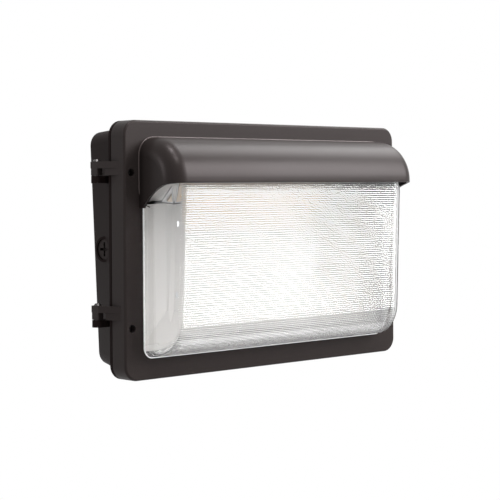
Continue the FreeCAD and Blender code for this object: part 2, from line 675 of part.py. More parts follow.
def hinge_arm(body, mark, foot):
    """Flared arm, web below it and knuckle block, standing out of the door's left side."""
    side = "(0 - %s)" % HALF_WIDE
    clear = "(%s + knuckle_half)" % PIN_X
    outer = "(%s - knuckle_half)" % PIN_X
    near = "(%s - knuckle_long / 2)" % PIN_Y
    far = "(%s + knuckle_long / 2)" % PIN_Y
    root = "(0 - %s - arm_clear)" % DOOR_REAR
    inside = "%s + overlap" % side
    arm = new_sketch(body, mark + "_arm_outline", "XY_Plane", "%s + knuckle_tall - arm_tall" % foot)
    add_polygon(arm, [("%s + door_edge_round" % side, "0 - %s" % DOOR_FACE, "0"), (outer, near, "0"),
                      (outer, far, "0"), (clear, far, "0"), (clear, root, "0"), (inside, root, "0")])
    add_pad(body, mark + "_arm", arm, "arm_tall")
    web = new_sketch(body, mark + "_web_outline", "XY_Plane", foot)
    tip = "(web_back - %s)" % DOOR_REAR
    add_polygon(web, [(inside, "web_front - %s" % DOOR_FACE, "0"), ("%s - web_reach" % side, tip, "0"),
                      (clear, tip, "0"), (clear, root, "0"), (inside, root, "0")])
    add_pad(body, mark + "_web", web, "knuckle_tall - arm_tall + overlap")
    block = new_sketch(body, mark + "_knuckle_outline", "XY_Plane", foot)
    add_frame(block, outer, clear, near, far, "knuckle_round")
    add_pad(body, mark + "_knuckle", block, "knuckle_tall")
    bore = new_sketch(body, mark + "_knuckle_bore", "XY_Plane", "%s + knuckle_tall" % foot)
    add_circle(bore, PIN_X, PIN_Y, "pin_radius + pin_play")
    add_pocket(body, mark + "_knuckle_hole", bore, "knuckle_tall")


def clamp_places():
    """Each lens clamp's screw (x, z) and the way it reaches over the rim, as expressions."""
    out = "(rim_reach + clamp_gap + clamp_boss)"
    places = []
    for sign, turn in (("0 - ", 1), ("", -1)):
        places.append(("%s(%s + %s)" % (sign, LENS_SIDE, out), "0", turn, 0))
    for edge, turn in (("%s - %s" % (LENS_LOW, out), 1), ("%s + %s" % (LENS_HIGH, out), -1)):
        for across in ("0 - clamp_across", "clamp_across"):
            places.append((across, edge, 0, turn))
    return places


def door_frame():
    """Cast door: rounded rim, pressing rib, lens opening, screw bosses and hinge arms."""
    body = new_body("door_cast")
    outline = new_sketch(body, "door_outline", "XZ_Plane", DOOR_REAR)
    frame_at(outline, "0", "door_radius")
    add_pad(body, "door_block", outline, "door_depth")
    face = -number(DOOR_FACE)
    add_fillet(body, "face_round", lambda edge: abs(edge.BoundBox.YMin - face) < CLOSE
               and abs(edge.BoundBox.YMax - face) < CLOSE, "door_edge_round")
    hollow = new_sketch(body, "hollow_outline", "XZ_Plane", DOOR_REAR)
    frame_at(hollow, "door_skin", "door_radius - door_skin")
    frame_at(hollow, "rib_inset", "groove_round")
    frame_at(hollow, "(rib_inset + rib_width)", "groove_round - rib_width")
    add_pocket(body, "hollow", hollow, "door_depth - door_skin", backwards=True)
    bosses = new_sketch(body, "door_boss_outline", "XZ_Plane", DOOR_REAR)
    for x_sign in ("0 - ", ""):
        for z_sign in ("0 - ", ""):
            add_flats(bosses, x_sign + SCREW_X, z_sign + "screw_height", "screw_boss")
    add_pad(body, "door_bosses", bosses, "door_depth - overlap")
    bosses = new_sketch(body, "clamp_boss_outline", "XZ_Plane", RIM_REAR)
    for x, z, turn_x, turn_z in clamp_places():
        add_flats(bosses, x, z, "clamp_boss")
    add_pad(body, "clamp_bosses", bosses, "rim_thick + lens_seal_thick + overlap")
    window = new_sketch(body, "window_outline", "XZ_Plane", "%s + overlap" % DOOR_FACE)
    lens_window(window, "opening_gap", "lens_end_round + opening_gap")
    add_pocket(body, "window", window, "door_skin + 2 * overlap")
    wells = new_sketch(body, "well_outline", "XZ_Plane", DOOR_FACE)
    for x_sign in ("0 - ", ""):
        for z_sign in ("0 - ", ""):
            add_circle(wells, x_sign + SCREW_X, z_sign + "screw_height", "screw_well")
    add_pocket(body, "wells", wells, "door_depth - screw_floor")
    holes = new_sketch(body, "door_hole_outline", "XZ_Plane", "%s + screw_floor" % DOOR_REAR)
    for x_sign in ("0 - ", ""):
        for z_sign in ("0 - ", ""):
            add_flats(holes, x_sign + SCREW_X, z_sign + "screw_height", "screw_thread + screw_play")
    add_pocket(body, "door_holes", holes, "screw_floor")
    holes = new_sketch(body, "clamp_hole_outline", "XZ_Plane", RIM_REAR)
    for x, z, turn_x, turn_z in clamp_places():
        add_flats(holes, x, z, "clamp_screw")
    add_pocket(body, "clamp_holes", holes, "rim_thick + lens_seal_thick + overlap", backwards=True)
    holes = new_sketch(body, "visor_hole_outline", "XZ_Plane", SKIN_REAR)
    for x in VISOR_SCREWS:
        add_flats(holes, x, VISOR_SCREW_Z, "small_screw + screw_play")
    add_pocket(body, "visor_holes", holes, "door_skin", backwards=True)
    for mark, foot in HINGES:
        hinge_arm(body, mark, foot)
    keep("door_frame", body)


def on_end(edge, half):
    """True where an edge lies wholly in one of the two planes X = half and X = -half."""
    box = edge.BoundBox
    return abs(box.XMax - box.XMin) < CLOSE and abs(abs(box.XMax) - half) < CLOSE


def visor_outer():
    """Quarter-round hood with rounded ends and swept cheeks, still solid."""
    body = new_body("visor_outer")
    sketch = new_sketch(body, "visor_profile", "YZ_Plane")
    rear = "(0 - %s)" % DOOR_FACE
    nose = "(%s - visor_depth)" % rear
    foot = "(%s - visor_foot)" % rear
    edge = "(%s - visor_height)" % VISOR_TOP
    knee = "(%s - visor_depth * cheek_share)" % rear
    add_polygon(sketch, [(rear, VISOR_TOP, "0"), (nose, VISOR_TOP, "visor_round"), (nose, edge, "0"),
                         (knee, "%s - cheek_drop" % edge, "cheek_round"),
                         (foot, "%s - visor_cheek" % VISOR_TOP, "0"),
                         (rear, "%s - visor_cheek" % VISOR_TOP, "0")])
    add_pad(body, "hood", sketch, "2 * %s" % VISOR_END, middle=True)
    half = number(VISOR_END)
    low = number(edge)
    back = number(rear)
    add_fillet(body, "hood_ends", lambda edge: on_end(edge, half)
               and edge.CenterOfMass.z > low + CLOSE and edge.CenterOfMass.y < back - CLOSE, "visor_end_round")
    return body


def visor_inner():
    """The hollow under the hood."""
    body = new_body("visor_hollow")
    sketch = new_sketch(body, "visor_hollow_profile", "YZ_Plane")
    rear = "(overlap - %s)" % DOOR_FACE
    nose = "(0 - %s - visor_depth + visor_skin)" % DOOR_FACE
    top = "(%s - visor_skin)" % VISOR_TOP
    low = "(%s - visor_cheek - overlap)" % VISOR_TOP
    add_polygon(sketch, [(rear, top, "0"), (nose, top, "visor_round - visor_skin"), (nose, low, "0"),
                         (rear, low, "0")])
    add_pad(body, "hood_hollow", sketch, "2 * (%s - visor_skin)" % VISOR_END, middle=True)
    half = number("%s - visor_skin" % VISOR_END)
    back = number(rear)
    floor = number(low)
    add_chamfer(body, "hollow_ends", lambda edge: on_end(edge, half)
                and edge.CenterOfMass.z > floor + CLOSE and edge.CenterOfMass.y < back - CLOSE,
                "(visor_end_round - visor_skin) * bevel_share")
    return body


def visor():
    """Thin cast hood on the door's face, open below and behind, with three screw bosses."""
    shell = cut_out("visor_shell", visor_outer(), [visor_inner()])
    bosses = [make_stud("visor_boss_%d" % index, x, "0 - %s" % DOOR_FACE, VISOR_SCREW_Z,
                        "visor_boss", "visor_boss_long") for index, x in enumerate(VISOR_SCREWS)]
    taps = [make_stud("visor_tap_%d" % index, x, "0 - %s" % DOOR_FACE, VISOR_SCREW_Z,
                      "small_screw * stud_hole", "visor_tap_deep") for index, x in enumerate(VISOR_SCREWS)]
    keep("visor", cut_out("visor_hood", join("visor_with_bosses", [shell] + bosses), taps))


def lens_form(name, shrink, kind, size, extra):
    """Lens volume: leaning front, large roundings, drafted ends; kind says how their edges are cut."""
    side = new_body(name + "_side")
    sketch = new_sketch(side, name + "_side_profile", "YZ_Plane")
    rear = "(0 - %s + %s)" % (RIM_REAR, extra)
    top = "(%s - %s)" % (LENS_HIGH, shrink)
    low = "(%s + %s)" % (LENS_LOW, shrink)
    nose = "(0 - %s - lens_depth + %s)" % (DOOR_FACE, shrink)
    chin = "(%s + (%s - %s) * tan(lens_lean))" % (nose, top, low)
    add_polygon(sketch, [(rear, top, "0"), (nose, top, "lens_top_round - %s" % shrink),
                         (chin, low, "lens_low_round - %s" % shrink), (rear, low, "0")])
    add_pad(side, name + "_bar", sketch, "door_width", middle=True)
    plan = new_body(name + "_plan")
    sketch = new_sketch(plan, name + "_plan_profile", "XY_Plane")
    front = "(%s - overlap)" % nose
    wide = "(%s - %s + (%s - (0 - %s)) * tan(lens_side_draft))" % (LENS_SIDE, shrink, rear, DOOR_FACE)
    slim = "(%s - %s - (0 - %s - %s) * tan(lens_side_draft))" % (LENS_SIDE, shrink, DOOR_FACE, front)
    add_polygon(sketch, [("0 - " + wide, rear, "0"), (wide, rear, "0"), (slim, front, "0"),
                         ("0 - " + slim, front, "0")])
    add_pad(plan, name + "_prism", sketch, "door_height", middle=True)
    common = DOC.addObject("Part::Common", name + "_common")
    common.Base = side
    common.Tool = plan
    DOC.recompute()
    rounded = DOC.addObject(kind, name + "_eased")
    rounded.Base = common
    back = number(rear)
    reach = number(size)
    inside = number(slim)
    edges = [(index + 1, reach, reach) for index, edge in enumerate(common.Shape.Edges)
             if abs(edge.CenterOfMass.x) > inside - reach and edge.CenterOfMass.y < back - CLOSE]
    rounded.Edges = edges
    DOC.recompute()
    return rounded


def lens():
    """Clear moulded lens, hollow behind, with a rim that sits behind the door's face."""
    outer = lens_form("lens_outer", "0", "Part::Fillet", "lens_end_round", "0")
    inner = lens_form("lens_inner", "lens_wall", "Part::Chamfer", "(lens_end_round - lens_wall) * bevel_share",
                      "overlap")
    rim = new_body("lens_rim")
    sketch = new_sketch(rim, "rim_outline", "XZ_Plane", RIM_REAR)
    lens_window(sketch, "rim_reach", "lens_end_round + rim_reach")
    add_pad(rim, "rim", sketch, "rim_thick")
    keep("lens", cut_out("lens_shell", join("lens_solid", [outer, rim]), [inner]))


def ring(label, offset, length, outer, inner):
    """A flat ring between two outlines, each a function that draws on a sketch."""
    body = new_body(label + "_ring")
    sketch = new_sketch(body, label + "_outline", "XZ_Plane", offset)
    outer(sketch)
    inner(sketch)
    add_pad(body, label + "_pad", sketch, length)
    keep(label, body)


def gaskets():
    """Door gasket in its groove, lens gasket on the door skin, wall gasket in the back."""
    ring("door_gasket", "%s - groove_depth" % FLANGE_FRONT, "groove_depth + seam_gap",
         lambda sketch: frame_at(sketch, "(groove_inset + gasket_play)", "groove_round - gasket_play"),
         lambda sketch: frame_at(sketch, "(groove_inset + groove_width - gasket_play)",
                                 "groove_round - groove_width + gasket_play"))
    ring("lens_gasket", LENS_SEAT, "lens_seal_thick",
         lambda sketch: lens_window(sketch, "rim_reach", "lens_end_round + rim_reach"),
         lambda sketch: lens_window(sketch, "opening_gap", "lens_end_round + opening_gap"))
    ring("wall_gasket", "0", "seal_thick",
         lambda sketch: seal_frame(sketch, "gasket_play", "seal_corner - gasket_play"),
         lambda sketch: seal_frame(sketch, "(seal_width - gasket_play)", "seal_corner - seal_width + gasket_play"))


# ---------------------------------------------------------------- fasteners

def make_screw(name, x, seat, z, radius, length, head, head_tall):
    """Hex-head screw driven towards the wall; seat is the head's underside."""
    shank = make_stud(name + "_shank", x, "0 - %s" % seat, z, radius, length, (0, 1, 0))
    cap = make_stud(name + "_head", x, "0 - %s" % seat, z, head, head_tall, sides=HEX)
    return join(name, [shank, cap])


def small_screw(name, x, seat, z):
    """The fixture's common machine screw."""
    return make_screw(name, x, seat, z, "small_screw", "small_long", "small_head", "small_head_tall")


def hinge_pins():
    """Two headed pins, fixed in the housing lugs, that the knuckles turn on."""
    pins = []
    for mark, foot in HINGES:
        low = "%s - hinge_gap - lug_tall" % foot
        top = "%s + knuckle_tall + pin_gap" % foot
        shank = make_rod(mark + "_pin_shank", PIN_X, PIN_Y, low, "pin_radius", "%s - (%s)" % (top, low), (0, 0, 1))
        dome = DOC.addObject("Part::Cone", mark + "_pin_head")
        dome.setExpression("Radius1", sizes("pin_head_radius"))
        dome.setExpression("Radius2", sizes("pin_crown_radius"))
        dome.setExpression("Height", sizes("pin_head_rise"))
        place(dome, PIN_X, PIN_Y, top)
        pins.append(join(mark + "_pin", [shank, dome]))
    keep("hinge_pins", gather("pin_pair", pins))


def cross_boxes(name, x, y, z, long, wide, deep):
    """Two crossed bars that cut a screwdriver recess into a face that looks along -Y."""
    return [make_box(name + "_bar_a", x, y, z, long, deep, wide),
            make_box(name + "_bar_b", x, y, z, wide, deep, long)]


def door_screws():
    """Four captive door screws, backed off so that the door is free to swing."""
    seat = "(%s + screw_floor + screw_travel)" % DOOR_REAR
    tip = "(%s + neck_end)" % DOOR_REAR
    grip = "(screw_travel - seam_gap - neck_end)"
    for mark, x_sign, z_sign in (("upper_left", "0 - ", ""), ("lower_left", "0 - ", "0 - "),
                                 ("upper_right", "", ""), ("lower_right", "", "0 - ")):
        x = x_sign + SCREW_X
        z = z_sign + "screw_height"
        name = "door_screw_" + mark
        head = make_rod(name + "_head", x, "0 - %s" % seat, z, "screw_head", "screw_head_tall")
        neck = make_stud(name + "_neck", x, "0 - %s" % seat, z, "screw_neck", "%s - %s" % (seat, tip), (0, 1, 0))
        thread = make_stud(name + "_thread", x, "0 - %s" % tip, z, "screw_thread", grip)
        top = "recess_deep - (%s + screw_head_tall)" % seat
        bars = cross_boxes(name, x, top, z, "recess_long", "recess_wide", "2 * recess_deep")
        keep(name, cut_out(name + "_cut", join(name + "_blank", [head, neck, thread]), bars))


def lens_clamps():
    """Spring plates that hold the lens rim, and their screws."""
    plates = []
    screws = []
    lift = "(%s - clamp_thick)" % RIM_REAR
    reach = "(clamp_long / 2 - clamp_boss)"
    for index, (x, z, turn_x, turn_z) in enumerate(clamp_places()):
        if turn_x:
            plate = make_box("clamp_%d_plate" % index, "%s + %d * %s" % (x, turn_x, reach),
                             "0 - %s" % lift, z, "clamp_long", "clamp_thick", "clamp_wide")
        else:
            plate = make_box("clamp_%d_plate" % index, x, "0 - %s" % lift,
                             "%s + %d * %s" % (z, turn_z, reach), "clamp_wide", "clamp_thick", "clamp_long")
        hole = make_stud("clamp_%d_hole" % index, x, "overlap - %s" % lift, z,
                         "(clamp_screw + screw_play) * stud_hole", "clamp_thick + 2 * overlap")
        plates.append(cut_out("clamp_%d" % index, plate, [hole]))
        shank = make_stud("clamp_%d_shank" % index, x, "0 - %s" % lift, z, "clamp_screw", "clamp_thick + clamp_grip")
        head = make_stud("clamp_%d_head" % index, x, "0 - %s" % lift, z, "clamp_boss", "clamp_head", (0, 1, 0), HEX)
        screws.append(join("clamp_%d_screw" % index, [shank, head]))
    keep("lens_clamps", gather("clamp_plates", plates))
    keep("clamp_screws", gather("clamp_screw_set", screws))


def visor_screws():
    """Screws that hold the visor from behind the door skin."""
    screws = []
    for index, x in enumerate(VISOR_SCREWS):
        shank = make_stud("visor_screw_%d_shank" % index, x, "0 - %s" % SKIN_REAR, VISOR_SCREW_Z,
                          "small_screw", "door_skin + visor_tap_deep - overlap")
        head = make_stud("visor_screw_%d_head" % index, x, "0 - %s" % SKIN_REAR, VISOR_SCREW_Z,
                         "small_head", "small_head_tall", (0, 1, 0), HEX)
        screws.append(join("visor_screw_%d" % index, [shank, head]))
    keep("visor_screws", gather("visor_screw_set", screws))


def entry_plugs():
    """Closure plugs in the side and bottom wiring entries, with a cross recess each."""
    plugs = []
    for side, mark in ((-1, "left"), (1, "right")):
        face = "%s - %d * plug_sink" % (entry_x(side), side)
        rod = make_rod(mark + "_plug_rod", face, "0 - entry_back", "0", "entry_bore - plug_play", "plug_long",
                       (-side, 0, 0))
        bars = []
        for bar, deep, tall in (("a", "plug_slot_long", "plug_slot"), ("b", "plug_slot", "plug_slot_long")):
            item = DOC.addObject("Part::Box", "%s_plug_bar_%s" % (mark, bar))
            item.setExpression("Length", sizes("2 * plug_slot_deep"))
            item.setExpression("Width", sizes(deep))
            item.setExpression("Height", sizes(tall))
            place(item, "%s - plug_slot_deep" % face, "0 - entry_back - (%s) / 2" % deep, "0 - (%s) / 2" % tall)
            bars.append(item)
        plugs.append(cut_out(mark + "_plug", rod, bars))
    face = "%s + plug_sink" % BASE_ENTRY_Z
    rod = make_rod("base_plug_rod", "0", "0 - entry_back", face, "entry_bore - plug_play", "plug_long", (0, 0, 1))
    bars = []
    for bar, wide, deep in (("a", "plug_slot_long", "plug_slot"), ("b", "plug_slot", "plug_slot_long")):
        item = DOC.addObject("Part::Box", "base_plug_bar_" + bar)
        item.setExpression("Length", sizes(wide))
        item.setExpression("Width", sizes(deep))
        item.setExpression("Height", sizes("2 * plug_slot_deep"))
        place(item, "0 - (%s) / 2" % wide, "0 - entry_back - (%s) / 2" % deep, "%s - plug_slot_deep" % face)
        bars.append(item)
    plugs.append(cut_out("base_plug", rod, bars))
    keep("entry_plugs", gather("plug_set", plugs))


# ---------------------------------------------------------------- light engine

def tray_wedge(name, back, half, low, mouth, mouth_half, mouth_low, top):
    """Solid between the reflector's back panel and its mouth; all its faces are flat."""
    item = DOC.addObject("Part::Wedge", name)
    for side, value in (("Ymin", "0 - " + mouth), ("Ymax", "0 - " + back), ("Zmin", mouth_low), ("Zmax", top),
                        ("Xmin", "0 - " + mouth_half), ("Xmax", mouth_half), ("Z2min", low), ("Z2max", top),
                        ("X2min", "0 - " + half), ("X2max", half)):
        item.setExpression(side, sizes(value))
    return item


def reflector():
    """White sheet tray: flat back and three flaps that flare towards the lens, open above."""
    front_half = "(%s - tray_gap)" % LENS_SIDE
    front_low = "(%s + tray_gap)" % LENS_LOW
    outside = tray_wedge("tray_outside", "(tray_back - tray_skin)", "(tray_wide / 2)", "tray_low",
                         "tray_front", front_half, front_low, "tray_top")
    inside = tray_wedge("tray_inside", "tray_back", "(tray_wide / 2 - tray_skin)", "tray_low + tray_skin",
                        "(tray_front + hair)", "(%s - tray_skin)" % front_half, "%s + tray_skin" % front_low,
                        "tray_top + tray_skin")
    holes = [make_stud("tray_hole_%d%d" % (side, row), "%d * post_span / 2" % side, "overlap - tray_back",
                       height, "small_screw * stud_hole", "tray_skin + 2 * overlap")
             for side in (-1, 1) for row, height in enumerate(("post_low", "post_high"))]
    keep("reflector", cut_out("tray_sheet", outside, [inside] + holes))
    screws = [small_screw("reflector_screw_%d%d" % (side, row), "%d * post_span / 2" % side, "tray_back", height)
              for side in (-1, 1) for row, height in enumerate(("post_low", "post_high"))]
    keep("reflector_screws", gather("reflector_screw_set", screws))


def along_plate(distance, lift):
    """Point (y, z) on the tilted plate: distance up its face, lift off its lit side."""
    y = "(0 - tray_back - shelf_gap - (%s) * cos(plate_tilt) - (%s) * sin(plate_tilt))" % (distance, lift)
    z = "(%s + (%s) * sin(plate_tilt) - (%s) * cos(plate_tilt))" % (PLATE_LOW_Z, distance, lift)
    return y, z


def tilted_bar(label, start, length, lift, thick, wide):
    """A slab on the tilted plate."""
    body = new_body(label + "_bar")
    sketch = new_sketch(body, label + "_profile", "YZ_Plane")
    end = "%s + %s" % (start, length)
    top = "%s + %s" % (lift, thick)
    corners = [along_plate(start, lift), along_plate(end, lift), along_plate(end, top), along_plate(start, top)]
    add_polygon(sketch, [(y, z, "0") for y, z in corners])
    add_pad(body, label + "_pad", sketch, wide, middle=True)
    return body


def light_plate():
    """Bent aluminium bracket: foot on the housing, shelf, and the tilted face for the light board."""
    body = new_body("light_plate")
    sketch = new_sketch(body, "plate_profile", "YZ_Plane")
    heel = "(0 - housing_floor - small_boss_tall)"
    bend = "(plate_thick * tan(plate_tilt / 2))"
    y_low, z_low = along_plate("0", "0")
    y_top, z_top = along_plate("plate_long", "0")
    y_back, z_back = along_plate("plate_long", "0 - plate_thick")
    add_polygon(sketch, [
        (heel, PLATE_LOW_Z, "0"),
        (y_low, z_low, "0"),
        (y_top, z_top, "0"),
        (y_back, z_back, "0"),
        ("%s + %s" % (y_low, bend), "%s + plate_thick" % z_low, "0"),
        ("%s - plate_thick" % heel, "%s + plate_thick" % PLATE_LOW_Z, "0"),
        ("%s - plate_thick" % heel, "%s + plate_foot" % PLATE_LOW_Z, "0"),
        (heel, "%s + plate_foot" % PLATE_LOW_Z, "0"),
    ])
    add_pad(body, "plate", sketch, "plate_wide", middle=True)
    holes = new_sketch(body, "plate_hole_outline", "XZ_Plane", "housing_floor + small_boss_tall + plate_thick")
    for x_sign in ("0 - ", ""):
        add_flats(holes, x_sign + "plate_screw_x", PLATE_SCREW_Z, "small_screw + screw_play")
    add_pocket(body, "plate_holes", holes, "plate_thick")
    keep("light_bracket", body)
    screws = [small_screw("bracket_screw_%s" % mark, "%splate_screw_x" % sign,
                          "(housing_floor + small_boss_tall + plate_thick)", PLATE_SCREW_Z)
              for mark, sign in (("left", "0 - "), ("right", ""))]
    keep("bracket_screws", gather("bracket_screw_set", screws))
    board = tilted_bar("board", "((plate_long - board_long) / 2)", "board_long", "0", "board_thick", "board_wide")
    keep("light_board", board)


def light_sources():
    """Rows of square light sources on the board, as one set of loose solids."""
    side = number("led_size")
    tall = number("led_tall")
    thick = number("board_thick")
    middle = number("plate_long / 2")
    columns = int(number("led_count"))
    rows = int(number("led_rows"))
    turn = FreeCAD.Rotation(VECTOR(1, 0, 0), 180 - number("plate_tilt"))
    chips = []
    for row in range(rows):
        place_up = middle + (row - (rows - 1) / 2) * number("led_row")
        y = number(along_plate("0", "0")[0])
        z = number(along_plate("0", "0")[1])
        tilt = math.radians(number("plate_tilt"))
        y -= place_up * math.cos(tilt) + thick * math.sin(tilt)
        z += place_up * math.sin(tilt) - thick * math.cos(tilt)
        for column in range(columns):
            x = (column - (columns - 1) / 2) * number("led_pitch")
            chip = Part.makeBox(side, side, tall, VECTOR(-side / 2, -side / 2, 0))
            chip.Placement = FreeCAD.Placement(VECTOR(x, y, z), turn)
            chips.append(chip)
    item = DOC.addObject("Part::Feature", "light_source_set")
    item.Shape = Part.makeCompound(chips)
    keep("light_sources", item)


def driver():
    """Potted driver case with a mounting ear at each end, and its screws."""
    body = new_body("driver_case")
    sketch = new_sketch(body, "case_outline", "XZ_Plane", DRIVER_SEAT)
    half = "driver_wide / 2"
    add_frame(sketch, "driver_x - %s + driver_ear" % half, "driver_x + %s - driver_ear" % half,
              "driver_z - driver_tall / 2", "driver_z + driver_tall / 2", "0")
    add_pad(body, "case", sketch, "driver_deep")
    ears = new_sketch(body, "ear_outline", "XZ_Plane", DRIVER_SEAT)
    add_frame(ears, "driver_x - %s" % half, "driver_x + %s" % half,
              "driver_z - driver_ear", "driver_z + driver_ear", "0")
    add_pad(body, "ears", ears, "driver_ear_thick")
    holes = new_sketch(body, "ear_hole_outline", "XZ_Plane", "%s + driver_ear_thick" % DRIVER_SEAT)
    for x in DRIVER_SCREWS:
        add_flats(holes, x, "driver_z", "small_screw + screw_play")
    add_pocket(body, "ear_holes", holes, "driver_ear_thick")
    keep("led_driver", body)
    screws = [small_screw("driver_screw_%d" % index, x, "(%s + driver_ear_thick)" % DRIVER_SEAT, "driver_z")
              for index, x in enumerate(DRIVER_SCREWS)]
    keep("driver_screws", gather("driver_screw_set", screws))


def terminal_block():
    """Moulded three-way terminal block: a wire entry below each screw."""
    body = new_body("terminal_cast")
    sketch = new_sketch(body, "block_outline", "XZ_Plane", "housing_floor")
    add_frame(sketch, "block_x - block_wide / 2", "block_x + block_wide / 2",
              "block_z - block_tall / 2", "block_z + block_tall / 2", "0")
    add_pad(body, "block", sketch, "block_deep")
    ways = new_sketch(body, "way_outline", "XZ_Plane", "housing_floor + block_deep")
    for step in (-1, 0, 1):
        x = "block_x + %d * way_pitch" % step
        add_flats(ways, x, "block_z + block_tall / 4", "way_radius")
        add_frame(ways, "%s - way_radius" % x, "%s + way_radius" % x, "block_z - block_tall / 4 - way_radius",
                  "block_z - block_tall / 4 + way_radius", "0")
    add_pocket(body, "ways", ways, "way_deep")
    keep("terminal_block", body)
    screws = [make_stud("way_screw_%d" % (step + 1), "block_x + %d * way_pitch" % step,
                        "0 - housing_floor - block_deep + way_deep", "block_z + block_tall / 4",
                        "way_radius", "way_screw_tall") for step in (-1, 0, 1)]
    keep("terminal_screws", gather("terminal_screw_set", screws))


def earth_screw():
    """Earth screw on its boss beside the wiring hole."""
    keep("ground_screw", make_screw("earth_screw", "ground_x", "(housing_floor + small_boss_tall)", "ground_z",
                                    "small_screw", "ground_long", "ground_head", "small_head_tall"))


def build():
    """Make every sub-part, test it and write its file."""
    fill_sheet()
    housing_posts(housing())
    door_frame()
    visor()
    lens()
    gaskets()
    hinge_pins()
    door_screws()
    lens_clamps()
    visor_screws()
    entry_plugs()
    reflector()
    light_plate()
    light_sources()
    driver()
    terminal_block()
    earth_screw()
    DOC.recompute()
    for item in DOC.Objects:
        if "Invalid" in item.State or "Error" in item.State:
            raise ValueError("%s failed: %s" % (item.Name, item.State))
    for label, item in PIECES.items():
        if item.Shape.isNull() or not item.Shape.isValid() or not item.Shape.Solids:
            raise ValueError("%s has no valid shape" % label)
    os.makedirs("parts", exist_ok=True)
    for label, item in PIECES.items():
        item.Shape.exportStep("parts/%s.step" % label)


build()
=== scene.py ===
"""Wall pack light: finishes for every part, a moulded lens with its ribs, and a plain studio."""

import math

import bpy
from bpy.props import FloatProperty, FloatVectorProperty, PointerProperty
from bpy.types import Operator, Panel, PropertyGroup
from mathutils import Matrix, Vector


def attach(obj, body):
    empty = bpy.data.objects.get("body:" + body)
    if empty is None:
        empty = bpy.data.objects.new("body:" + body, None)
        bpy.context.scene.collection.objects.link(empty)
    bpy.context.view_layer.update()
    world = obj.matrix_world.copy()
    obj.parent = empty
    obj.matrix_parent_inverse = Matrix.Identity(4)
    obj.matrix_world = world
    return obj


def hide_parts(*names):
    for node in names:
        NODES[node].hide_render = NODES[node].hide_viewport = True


bl_info = {
    "name": "Wall Pack Light",
    "version": (1, 0, 0),
    "blender": (4, 5, 0),
    "location": "View3D > Sidebar > Wall Pack",
    "description": "Finishes, ribbed lens and studio of a wall pack light",
    "category": "Add Mesh",
}

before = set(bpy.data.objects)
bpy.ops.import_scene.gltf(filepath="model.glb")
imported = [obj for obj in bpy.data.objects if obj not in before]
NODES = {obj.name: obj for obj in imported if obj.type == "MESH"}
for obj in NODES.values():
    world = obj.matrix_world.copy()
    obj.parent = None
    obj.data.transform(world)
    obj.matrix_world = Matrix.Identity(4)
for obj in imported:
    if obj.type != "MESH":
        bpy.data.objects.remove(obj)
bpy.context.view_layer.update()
MM = 0.001
SAME_PLACE = 1e-6


# ---------------------------------------------------------------- settings

class PaintSettings(PropertyGroup):
    """Colours of the light's finishes."""

    bronze: FloatVectorProperty(
        name="Bronze", description="Powder coat of door, visor and plugs",
        default=(0.022, 0.0175, 0.0165), subtype="COLOR", size=3, min=0, max=1)
    # The housing wears the door's powder coat, made darker here: painted shade on the housing's sides.
    housing_bronze_painted_shade: FloatVectorProperty(
        name="Housing bronze", description="Powder coat of the rear housing, darker than the door's",
        default=(0.01276, 0.00875, 0.00825), subtype="COLOR", size=3, min=0, max=1)
    sheet_white: FloatVectorProperty(
        name="Reflector white", description="Baked enamel of the reflector",
        default=(0.60, 0.584, 0.566), subtype="COLOR", size=3, min=0, max=1)
    phosphor: FloatVectorProperty(
        name="Phosphor", description="Yellow phosphor of the light sources",
        default=(0.90, 0.55, 0.16), subtype="COLOR", size=3, min=0, max=1)
    # The board's mask is tinted warm peach: painted glow of its light sources.
    board: FloatVectorProperty(
        name="Board", description="Solder mask of the light board, warmed by its sources",
        default=(0.80, 0.68, 0.56), subtype="COLOR", size=3, min=0, max=1)
    seal: FloatVectorProperty(
        name="Seal", description="Silicone of the gaskets",
        default=(0.030, 0.030, 0.031), subtype="COLOR", size=3, min=0, max=1)


class LensSettings(PropertyGroup):
    """Sizes of the clear lens, in millimetres in the frame of the CAD model."""

    rib_pitch: FloatProperty(
        name="Rib pitch", description="Spacing of the level prisms outside the lens",
        default=2.09, min=1, max=8)
    rib_depth: FloatProperty(
        name="Rib depth", description="Depth of the level prisms", default=0.4, min=0, max=1)
    flute_pitch: FloatProperty(
        name="Flute pitch", description="Spacing of the upright prisms inside the lens",
        default=2.6, min=1, max=8)
    flute_depth: FloatProperty(
        name="Flute depth", description="Depth of the upright prisms where they are deepest",
        default=0.2, min=0, max=1)


class StageSettings(PropertyGroup):
    """Camera and light of the studio."""

    focal_length: FloatProperty(
        name="Focal length", description="Focal length of the camera",
        default=106.13, min=20, max=400, subtype="DISTANCE_CAMERA")
    azimuth: FloatProperty(
        name="Azimuth", description="Turn of the camera round the light",
        default=math.radians(-43.07), subtype="ANGLE")
    roll: FloatProperty(
        name="Roll", description="Lean of the camera",
        default=math.radians(0.429), subtype="ANGLE")
    place: FloatVectorProperty(
        name="Place", description="Place of the camera",
        default=(-0.996, -1.1076, 0.0556), subtype="TRANSLATION", size=3)
    shift: FloatProperty(
        name="Shift", description="Share of the frame that the view is moved up",
        default=-0.1244, min=-0.5, max=0.5)
    sky: FloatProperty(
        name="Fill", description="Strength of the soft light from all sides",
        default=0.35, min=0, max=2)
    key: FloatProperty(
        name="Key", description="Power of the large lamp at the right",
        default=42, min=0, max=500, subtype="POWER")


# ---------------------------------------------------------------- materials

class Value:
    """A number inside a material. Arithmetic on it adds Math nodes."""

    def __init__(self, graph, socket):
        self.graph = graph
        self.socket = socket

    def maths(self, operation, other, flip=False):
        pair = (other, self) if flip else (self, other)
        return self.graph.node("ShaderNodeMath", {"operation": operation}, dict(enumerate(pair)))

    def __add__(self, other):
        return self.maths("ADD", other)

    def __radd__(self, other):
        return self.maths("ADD", other, True)

    def __mul__(self, other):
        return self.maths("MULTIPLY", other)

    def __gt__(self, other):
        return self.maths("GREATER_THAN", other)

    def __lt__(self, other):
        return self.maths("LESS_THAN", other)


